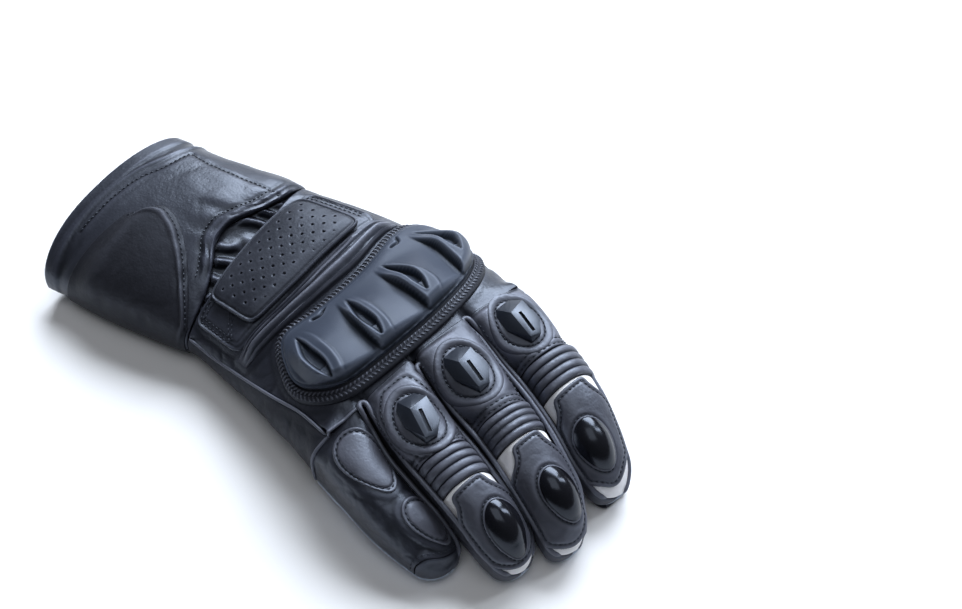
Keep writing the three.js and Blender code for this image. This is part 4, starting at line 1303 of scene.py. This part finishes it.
# The outer side's darker matte leather is partly painted shade, as it faces away from the window
dress("outer_side", side, matte_with_painted_shade)
knuckle_seam = np.concatenate([side.surface()[-1], hand.surface()[-1]])
seen = knuckle_seam[:, 0] > PIPED_FROM
up = np.concatenate([sleeve.normal(grid.station[-1], grid.angle[-1]) for grid in (side, hand)])
pipe("seam_piping", (knuckle_seam + 0.4 * up)[seen], up[seen], 0.8)
station, angle = np.linspace(2.9, 7.95, 60), along(OUTER_SEAM, np.linspace(0.01, 0.99, 60)) - 0.45
pipe_on("seam_piping", sleeve, resampled(sleeve, station, angle, 0.8), 0.75, off=0.1)

# Fingers

TIP_HOLE = 0.1  # the palm and side strips end this many stations short of the tip
BOLSTER = {"size": (12.2, 16.8), "inside": 0.5, "seam": 0.76, "peak": 0.92, "swell": 0.9, "rim": 1.6,
           "spread": 11}
RIB = {"count": 4, "height": 1.45, "blunt": 0.34, "fade": 7, "slant": 0.1}
RIB_ROWS = (1.5, 3.8)  # distances of the two stitch rows behind the ribs
SIDE_ROW = 2.2  # distance of the stitches from a finger back's sides
PANEL_ROW = 1.9  # distance of a tip panel's stitches from its outline
DOME_ROW = (7.4, 11.2)  # half width and half length of the stitched oval round a dome
# Places are x and y of the plan, ribs are stations, and the rest are angles. A panel's sides are given at
# its rear, middle and front. seam is a further stitched line, as stations and angles.
ARMED = {
    "index": {
        "gem": (-56.6, 54.8), "dome": (-46.1, 114), "ribs": (1.8, 2.52),
        "back": (27, 186.4), "palm": (187.6, 324),
        "sides": {"index_fourchette": (-35.4, 24.5)},
        "panel": {"rear": (50, 112), "middle": (27.5, 142), "front": (58, 116), "stations": (2.58, 5.46)},
    },
    "middle": {
        "gem": (-22, 59.5), "dome": (-17.9, 121), "ribs": (1.95, 2.58),
        "back": (27, 153), "palm": (216, 324),
        "sides": {"middle_fourchette_by_ring": (-35.4, 24.5), "middle_fourchette_by_index": (155.5, 215.4)},
        "panel": {"rear": (64, 116), "middle": (27.5, 148), "front": (56, 140), "stations": (2.64, 5.62)},
    },
    "ring": {
        "gem": (7.8, 62), "dome": (9, 116.4), "ribs": (1.7, 2.44),
        "back": (27, 153), "palm": (216, 324),
        "sides": {"ring_fourchette_by_little": (-35.4, 24.5), "ring_fourchette_by_middle": (155.5, 215.4)},
        "panel": {"rear": (48, 112), "middle": (28, 151), "front": (50, 134), "stations": (2.5, 5.6)},
        "seam": [(0.31, 71), (0.16, 87), (0.27, 103), (0.7, 132), (1.15, 146), (1.5, 138), (1.66, 110),
                 (1.64, 75), (1.5, 55), (0.87, 44), (0.5, 54)],
    },
}


def tip_region(rear, middle, front, stations):
    """A tip panel's edges. It widens behind its shoulders and narrows at the front. Its sides are angles."""

    def side(number, shoulder):
        return lambda u: mix(mix(rear[number], middle[number], between(u, *shoulder)), front[number],
                             between(u, 0.86, 1.02))

    return {"start": side(0, (0.07, 0.2)), "stop": side(1, (0.04, 0.28)), "rear": stations[0],
            "front": lambda v: stations[1] - 0.22 * np.abs(2 * v - 1) ** 2}


def slanted(station):
    """A cross seam that runs a little further forward on the thumb side. Its angles go from 27 to 153."""
    return lambda v: station + RIB["slant"] * (2 * v - 1)


def strip_of(node, tube, angles, rear, front, look, step=0.8, amount=0.6, keep=None,
             rolls="rear front start stop", bend=None):
    """A plain leather strip, rolled into its seams. amount is how strong its folds are, keep lists places
    where it has none, and bend gives a further move."""
    grid = strip(tube, *angles, rear, front, step)
    if bend:
        grid.shift = bend(grid)
    relief = folds(grid, amount, 1.0 if look is not grey else 0.25) * between(grid.edge(), 0, 4)
    if keep is not None:
        relief = relief * between(nearest(grid.flat, keep), 1.5, 4)
    grid.height = grid.height + relief - rolled(grid.edge(rolls), 0.8)
    dress(node, grid, look)
    return grid


# Gem-like guard. Its rim is x, y and height from the middle of its foot. scale makes all of it smaller.
GEM_RIM = [(4.4, -12.3, 0.6), (-4, -12.3, 0.8), (-8.5, -7.3, 2.5), (-7.6, 5.7, 3.4), (-2, 12.3, 3.2),
           (4, 12.5, 1.8), (8.4, 0, 0.5), (7.2, -8.8, 0.5)]
GEM = {"apex": (2.2, -4.6), "height": 5, "ridge_end": (3.8, 10.8), "end_height": 4.3, "bevel": 0.2,
       "scale": 0.91, "off": 1.3}
SLOT = {"from": (-1.9, -2.6), "to": (0.2, 9.4), "half": 0.95, "depth": 2.4}
DOME = {"size": (6.5, 10.1), "height": 3.7, "flat": 2.1}
DOME_LEAN = {"turn": -6, "point": 0.12}


def on_tube(tube, station, angle, off, points):
    """Moves points drawn flat, +Y forward and +Z up, onto a tube's back."""
    up = tube.normal(station, angle)
    right = unit(np.cross(tube.skin(station + 0.05, angle) - tube.skin(station - 0.05, angle), up))
    forward = np.cross(up, right)
    return tube.point(station, angle, off) + points @ np.array([right, forward, up])


def hull_object(name, points):
    mesh = bpy.data.meshes.new(name)
    form = bmesh.new()
    for place in points:
        form.verts.new(place)
    bmesh.ops.convex_hull(form, input=form.verts)
    bmesh.ops.dissolve_limit(form, angle_limit=math.radians(3), verts=form.verts, edges=form.edges)
    form.to_mesh(mesh)
    form.free()
    return placed(name, mesh)


def gem_points():
    """A bevelled faceted solid with a slot beside its ridge, as points and faces."""
    rim = np.array(GEM_RIM)
    corners = [(x, y, 0) for x, y, _ in rim] + GEM_RIM
    corners += [(*GEM["apex"], GEM["height"]), (*GEM["ridge_end"], GEM["end_height"])]
    blank = hull_object("gem", corners)
    bevel = blank.modifiers.new("bevel", "BEVEL")
    bevel.width = GEM["bevel"]
    bevel.segments = 2
    ahead = unit(np.array(SLOT["to"]) - SLOT["from"])
    side = np.array([-ahead[1], ahead[0]]) * SLOT["half"]
    near, far = GEM["height"] - SLOT["depth"], GEM["end_height"] - SLOT["depth"] * 0.8
    box = [
        (*(np.array(end) + sign * side), z + lift)
        for end, z in ((SLOT["from"], near), (SLOT["to"], far)) for sign in (-1, 1) for lift in (-0.2, 6)
    ]
    cutter = hull_object("cutter", box)
    cut = blank.modifiers.new("slot", "BOOLEAN")
    cut.object = cutter
    cut.operation = "DIFFERENCE"
    shape = blank.evaluated_get(bpy.context.evaluated_depsgraph_get()).data
    points = np.array([vertex.co for vertex in shape.vertices])
    faces = [tuple(face.vertices) for face in shape.polygons]
    for spare in (blank, cutter):
        bpy.data.objects.remove(spare)
    return points, faces


gem_shape, gem_faces = gem_points()


def index_root(grid):
    """Draws the thumb side of the index finger's root in to the hand's rounded side."""
    share = between(grid.rear, 14, 0) * between(grid.angle, 140, 170) * between(grid.angle, 285, 245)
    return drawn_to(grid, sleeve.skin(sleeve.last, np.arange(120, 300, 1.0)), share)


def add_bolster(name, tube, x, y):
    """A stitched, padded ring round a finger's guard."""
    bolster = oval_band(tube, x, y, *BOLSTER["size"], BOLSTER["inside"], step=0.42)
    share = bolster.share
    swell = between(share, 1.2, BOLSTER["peak"]) * between(share, BOLSTER["seam"], BOLSTER["peak"])
    bolster.height = BOLSTER["rim"] + BOLSTER["swell"] * swell
    bolster.height += 0.5 * folds(bolster) * swell - 0.35 * bump(share, BOLSTER["seam"], 0.025)
    bolster.height -= rolled((1 - share) * BOLSTER["size"][0], 0.2)
    dress(f"{name}_bolster", bolster, supple, FIRST, fill=0.7)
    seam = oval_line(tube, x, y, *(BOLSTER["seam"] * size for size in BOLSTER["size"]))
    sew("stitches_fingers", bolster, seam, off=0.15, pitch=2.3)
    return bolster


def add_gem(name, tube, x, y):
    station, angle = tube.locate(np.array(x), np.array(y))
    points = on_tube(tube, float(station), float(angle), GEM["off"], gem_shape * GEM["scale"])
    made = new_object(f"{name}_guard_dressed", points, gem_faces, gloss_slate, sharp=20)
    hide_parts(f"{name}_guard")


def add_back(name, tube, spec, bolster):
    """A finger's back up to its ribs, with a pillow under the bolster and rows of stitches."""
    back = strip(tube, *spec["back"], 0, slanted(spec["ribs"][0] - SEAM), 0.7)
    if name == "index":
        back.shift = index_root(back)
    from_bolster = nearest(back.flat, bolster.sample(2))
    free = between(from_bolster, 0.5, 5)
    from_gem = back.flat[..., :2] - spec["gem"]
    under = np.hypot(*np.moveaxis(from_gem / BOLSTER["size"], -1, 0))
    pillow = (BOLSTER["rim"] + 0.7 * BOLSTER["swell"]) * between(from_bolster, BOLSTER["spread"], -2)
    pillow *= between(under, 0.9, 0.97)
    crosswise = np.sin(back.front / 1.3 + 3.5 * soft_noise(back.flat, 12)) * bump(back.front, 5, 4)
    back.height = 0.1 + pillow + free * (folds(back, 0.9) + 0.35 * crosswise)
    back.height *= between(back.rear, 0, 3)
    back.height += sum(groove(back.front - row, 0.35, 0.6) for row in RIB_ROWS)
    back.height -= rolled(back.edge("front start stop"), 0.5)
    rows = [back.line("front", row, 2.5) for row in RIB_ROWS]
    rows += [back.line(side, SIDE_ROW, 5) for side in ("start", "stop")]
    if "seam" in spec:
        rows.append(path(tube, spec["seam"] + spec["seam"][:1]))
        back.height += groove(away(back, rows[-1]), 0.6, 0.8)
    dress(f"{name}_back", back, supple)
    for row in rows:
        sew("stitches_fingers", back, row)


def add_ribs(name, tube, spec):
    """Accordion ribs across a finger."""
    ribs = strip(tube, *spec["back"], *map(slanted, spec["ribs"]), 0.36)
    share = ribs.rear / (ribs.rear + ribs.front)
    wave = np.abs(np.sin(math.pi * RIB["count"] * share)) ** RIB["blunt"]
    fade = between(ribs.edge("start stop"), 0, RIB["fade"])
    ribs.height = RIB["height"] * wave * (0.3 + 0.7 * fade) + 0.25 * folds(ribs) + 0.5 * fade
    dress(f"{name}_ribs", ribs, supple, fill=0.6)


def add_tip(name, tube, spec):
    """A finger's tip: white leather, the stitched panel on it and the panel's dome."""
    tip = strip(tube, *spec["back"], slanted(spec["ribs"][1] + SEAM), tube.last + 1, 0.8)
    panel = filled(tube, **tip_region(**spec["panel"]), radius=2, step=0.5)
    tip.height = folds(tip, 0.3) * between(nearest(tip.flat, panel.sample(4)), 1.5, 5)
    tip.height -= rolled(tip.edge("rear start stop"), 0.9)
    dress(f"{name}_tip", tip, white)
    dome_row = oval_line(tube, *spec["dome"], *DOME_ROW, **DOME_LEAN)
    from_dome = away(panel, dome_row)
    panel.height = 1.9 + folds(panel, 0.45) * between(panel.rim, 1, 5) * between(from_dome, 1, 4)
    sunk = groove(panel.rim - PANEL_ROW, 0.45, 0.6) - 0.5 * bump(from_dome, 0, 0.8)
    panel.height += sunk - rolled(panel.rim, 0.8)
    dress(f"{name}_tip_panel", panel, supple, FIRST)
    sew("stitches_fingers", panel, beside(tube, panel.outline, -PANEL_ROW), pitch=2.1)
    sew("stitches_fingers", panel, dome_row, pitch=2.0)
    dome = disc(tube, *spec["dome"], *DOME["size"], step=0.35, **DOME_LEAN)
    dome.height = SECOND_SEAT + 0.2 + DOME["height"] * (1 - np.clip(dome.share, 0, 1) ** DOME["flat"])
    dress(f"{name}_dome", dome, gloss, 2.2, sharp=80)
    rim = oval_line(tube, *spec["dome"], *(size + 0.35 for size in DOME["size"]), **DOME_LEAN)
    pipe_on("finger_piping", tube, rim, 0.45, off=2.4, taper=0.01)


for name, spec in ARMED.items():
    tube = finger[name]
    bolster = add_bolster(name, tube, *spec["gem"])
    add_gem(name, tube, *spec["gem"])
    add_back(name, tube, spec, bolster)
    add_ribs(name, tube, spec)
    add_tip(name, tube, spec)
    end = tube.last + 1 - TIP_HOLE
    bend = index_root if name == "index" else None
    strip_of(f"{name}_palm", tube, spec["palm"], 0, end, grey, bend=bend)
    # The fourchettes take the lighter stretch leather, painted fill light in their shade
    for node, angles in spec["sides"].items():
        strip_of(node, tube, angles, 0, end, stretch_painted_fill)

# Little finger: two padded ovals and a sewn-on tip

LITTLE_ANGLES = (-9, 153)
LITTLE_TIP = [4.0, 3.98, 4.1, 4.35, 4.4, 4.3]  # stations of the tip's seam
PAD_ROW = 1.7  # distance of a pad's stitches from its rim
LITTLE_PADS = {
    "little_pad_root": {"x": 34.4, "y": 58.5, "wide": 9.6, "long": 17, "turn": 2, "point": 0.3},
    "little_pad_end": {"x": 30, "y": 92, "wide": 7.4, "long": 11.6, "turn": 10, "point": 0.35},
}
tube = finger["little"]
pad_places = []
for node, spot in LITTLE_PADS.items():
    oval = disc(tube, **spot, step=0.45)
    rim = (1 - oval.share) * (spot["wide"] + spot["long"]) / 2
    cover = disc(tube, **spot, step=2.2)
    swell = swollen(oval, cover, 2.8, slack=0.03)
    oval.height = 0.7 + blurred(swell, 14) + groove(rim - PAD_ROW, 0.6, 0.6) + 0.12 * folds(oval)
    oval.height -= rolled(rim, 0.6)
    dress(node, oval, supple, FIRST, fill=0.6)
    inset = {**spot, "wide": spot["wide"] - PAD_ROW, "long": spot["long"] - PAD_ROW}
    sew("stitches_fingers", oval, oval_line(tube, **inset))
    pad_places.append(oval.sample(2))
covered = np.concatenate(pad_places)
back = strip_of("little_back", tube, LITTLE_ANGLES, 0, lambda v: along(LITTLE_TIP, v) - SEAM, black,
                amount=1.0, keep=covered, rolls="start stop")
strip_of("little_tip", tube, LITTLE_ANGLES, lambda v: along(LITTLE_TIP, v) + SEAM, tube.last + 1, black,
         rolls="rear start stop")
sew("stitches_fingers", back, back.line("front", 2))
end = tube.last + 1 - TIP_HOLE
# The lighter stretch leather here is painted fill light in the fourchette's shade
strip_of("little_fourchette", tube, (155.5, 215.4), 0, end, stretch_painted_fill)
strip_of("little_palm", tube, (216, 350.6), 0, end, grey)

# Thumb, which lies under the hand
THUMB_ROOT = 0.5  # station at which it comes out of the palm
THUMB_SEAM = 3.8  # station of its tip's seam
THUMB_END = {"anchor": (-49, -58, 19), "length": 26, "least": 0.2}
tube = finger["thumb"]


def thumb_root(grid):
    """Rounds the thumb's root and closes it toward a point under the palm."""
    share = np.sqrt(1 - (1 - np.clip(grid.rear / THUMB_END["length"], 0, 1)) ** 2)
    return (THUMB_END["anchor"] - grid.flat) * (1 - mix(THUMB_END["least"], 1, share))[..., None]


for node, angles, rear, front, look, bend in (
    ("thumb_back", (-6.6, 184.6), THUMB_ROOT, THUMB_SEAM - SEAM, black, thumb_root),
    ("thumb_tip", (-6.6, 184.6), THUMB_SEAM + SEAM, tube.last + 1, black, None),
    ("thumb_palm", (185.4, 352.6), THUMB_ROOT, tube.last + 1 - TIP_HOLE, grey, thumb_root),
):
    strip_of(node, tube, angles, rear, front, look, step=1.0, bend=bend)

# Piping along the fingers' seams, joined in a loop round each crotch. A loop's head is a point of the
# pattern's frame, between the little-finger side of one finger and the thumb side of the next.
CROTCHES = [("little", "ring", (20.4, 37.8, 41.5)), ("ring", "middle", (-8.9, 41.6, 45.6)),
            ("middle", "index", (-39, 37.4, 47.2))]
CORD = {"radius": 1.15, "off": (-0.1, 1.4), "apart": 2.7, "head": 3.6, "start": 0.45, "side": 30}


def finger_cord(name, angle):
    """A cord's line along a side of a finger, from its tip to its root."""
    tube = finger[name]
    station = np.linspace(tube.last + 0.55, CORD["start"], 90)
    off = mix(*CORD["off"], between(station, 0.3, 1.6)) * between(station, tube.last + 0.6, tube.last - 1.2)
    return tube.point(station, angle, off)


def drawn_together(near, far):
    """Moves two cords sideways until they lie close, beyond the crotch and short of the tips."""
    meet = min(near[0, 1], far[0, 1])
    moved = []
    for line, other, sign in ((near, far, 1), (far, near, -1)):
        gap = (line[:, 0] - np.interp(line[:, 1], other[::-1, 1], other[::-1, 0])) * sign
        move = np.maximum(gap - CORD["apart"], 0) / 2 * between(line[:, 1], meet - 4, meet - 30)
        moved.append(line - move[:, None] * (sign, 0, 0))
    return moved


for near, far, head in CROTCHES:
    cords = finger_cord(near, 180 - CORD["side"]), finger_cord(far, CORD["side"])
    near_side, far_side = drawn_together(*cords)
    turn = np.linspace(0, math.pi, 12)[:, None]
    loop = np.array(head) + CORD["head"] / 2 * (np.cos(turn) * (1, 0, 0) + np.sin(turn) * (0, -1, -0.1))
    line = np.concatenate([near_side, loop + (0, CORD["head"] / 2, 0), far_side[::-1]])
    run = run_length(line)
    at = np.arange(0, run[-1], 0.6)
    line = np.stack([np.interp(at, run, line[:, axis]) for axis in range(3)], -1)
    for _ in range(5):
        line[1:-1] = (line[:-2] + 2 * line[1:-1] + line[2:]) / 4
    pipe("finger_piping", line, np.tile((0.0, 0.0, 1.0), (len(line), 1)), CORD["radius"])
outer = resampled(finger["index"], np.linspace(1.95, 5.9, 120), np.full(120, 150.0), 0.7)
pipe_on("finger_piping", finger["index"], outer, 0.8, off=0.5)

# Palm side of the hand

GRIP = region(236, 312, [5.5, 5.6, 5.4, 5.1, 4.9, 4.85], [7.5, 6.9, 6.4, 6.0, 5.75, 5.6])
PALM_HOLES = {"rows": 2.436, "pitch": 2.8, "radius": (0.75, 0.25), "depth": 0.8, "margin": (4, 4.3)}
PALM_ROW = 2.2  # distance of the stitches from a patch's edges
grip = strip(sleeve, **GRIP, step=0.5)
grip.height += 2.1 - perforated(grip, grip.edge(), **PALM_HOLES)
sewn_patch("grip_patch", grip, matte_with_painted_shade, PALM_ROW, skip=8)

SLIDER = {
    "start": 238,
    "stop": 290,
    "rear": lambda v: 3.35 + 0.25 * np.abs(2 * v - 1),
    "front": lambda v: 4.35 - 0.25 * np.abs(2 * v - 1),
}
slider = strip(sleeve, **SLIDER, step=0.5)
slider_cover = strip(sleeve, **SLIDER, step=3, fine=1.5)
swell = swollen(slider, slider_cover, 3.4, slack=0.02)
slider.height += 1.4 + blurred(swell, 6) * between(slider.edge(), 2.4, 5)
sewn_patch("palm_slider", slider, black, PALM_ROW, fill=0.8)

under_trim = np.concatenate([grid.sample(4) for grid in (grip, slider)])
for node, rear, front, look in (
    ("heel_panel", CUFF_SEAM + 0.04, HEEL_SEAM - SEAM, black),
    ("hand_palm", HEEL_SEAM + SEAM, KNUCKLE_SEAM - 2 * SEAM, grey),
):
    strip_of(node, sleeve, PALM, rear, front, look, step=1.1, amount=0.9, keep=under_trim)

patch = strip(finger["index"], 228, 312, 3.9, 5.5, 0.5)
patch.height += 1.8
sewn_patch("index_tip_patch", patch, matte_with_painted_shade, 2, (0.4, 0.6))

# Stage

for group, rows in stitch_rows.items():
    points, faces = stitch_mesh(rows)
    # The border's stitches take the lighter supple leather, a painted highlight for the thread's gloss
    new_object(group, points, faces, supple if group == "stitches_border" else thread)
for group, cords in pipes.items():
    points, faces = pipe_mesh(cords)
    # The cords are painted lighter, close to the ridge colour, as painted light on cords that lie in shade
    made = new_object(group, points, faces, supple, np.full(len(points), 0.8))

FLOOR = {"half": 3, "drop": 0.0004}
floor_mesh = bpy.data.meshes.new("floor")
corners = [(x * FLOOR["half"], y * FLOOR["half"], 0) for x, y in ((-1, -1), (1, -1), (1, 1), (-1, 1))]
floor_mesh.from_pydata(corners, [], [(0, 1, 2, 3)])
floor = placed("floor", floor_mesh)
floor.location.z = -FLOOR["drop"]
pale = bpy.data.materials.new("pale floor")
pale.use_nodes = True
surface = pale.node_tree.nodes["Principled BSDF"].inputs
surface["Base Color"].default_value = (0.86, 0.86, 0.87, 1)
surface["Roughness"].default_value = 0.7
floor_mesh.materials.append(pale)

LIT_PLACE = Vector((0, 0, 0.02))
DAYLIGHT = (0.86, 0.92, 1.0)


def area_light(name, place, size, power, color):
    data = bpy.data.lights.new(name, "AREA")
    data.shape = "RECTANGLE"
    data.size, data.size_y = size
    data.energy = power
    data.color = color
    light = placed(name, data)
    light.location = place
    light.rotation_euler = (LIT_PLACE - Vector(place)).to_track_quat("-Z", "Y").to_euler()


area_light("window", (-2.0, -1.35, 2.1), (2.4, 1.8), 215, DAYLIGHT)
area_light("side window", (-2.3, 0.5, 1.9), (0.5, 1.6), 30, DAYLIGHT)
area_light("overhead", (0.2, 0.4, 3.0), (2.0, 2.0), 20, (0.95, 0.97, 1.0))
world = bpy.data.worlds.new("world")
world.use_nodes = True
sky = world.node_tree.nodes["Background"].inputs
sky["Color"].default_value = (0.9, 0.94, 1.0, 1)
sky["Strength"].default_value = 0.085
bpy.context.scene.world = world
bpy.context.scene.view_settings.view_transform = "Standard"

# Camera at the photograph's viewing angle
CAMERA = {"azimuth": 138, "elevation": 54, "distance": 607, "focal": 1336}  # focal length in pixels
AIM = np.array([0, 0, 28.0])  # the point of the pattern's frame seen at AIM_PIXEL
AIM_PIXEL = (345, 340)
FRAME_MIDDLE = (481, 304.5)
SENSOR = 36
azimuth, elevation = math.radians(CAMERA["azimuth"]), math.radians(CAMERA["elevation"])
back = np.array([
    math.sin(azimuth) * math.cos(elevation),
    -math.cos(azimuth) * math.cos(elevation),
    math.sin(elevation),
])
right = np.array([math.cos(azimuth), math.sin(azimuth), 0])
up = np.cross(back, right)
per_pixel = CAMERA["distance"] / CAMERA["focal"]
place = AIM + back * CAMERA["distance"]
place += right * (FRAME_MIDDLE[0] - AIM_PIXEL[0]) * per_pixel
place += up * (AIM_PIXEL[1] - FRAME_MIDDLE[1]) * per_pixel
camera_data = bpy.data.cameras.new("camera")
camera_data.sensor_width = SENSOR
camera_data.lens = CAMERA["focal"] * SENSOR / (2 * FRAME_MIDDLE[0])
camera = placed("camera", camera_data)
camera.location = (place - CENTRE) / 1000
camera.rotation_euler = Vector(-back).to_track_quat("-Z", "Y").to_euler()
bpy.context.scene.camera = camera
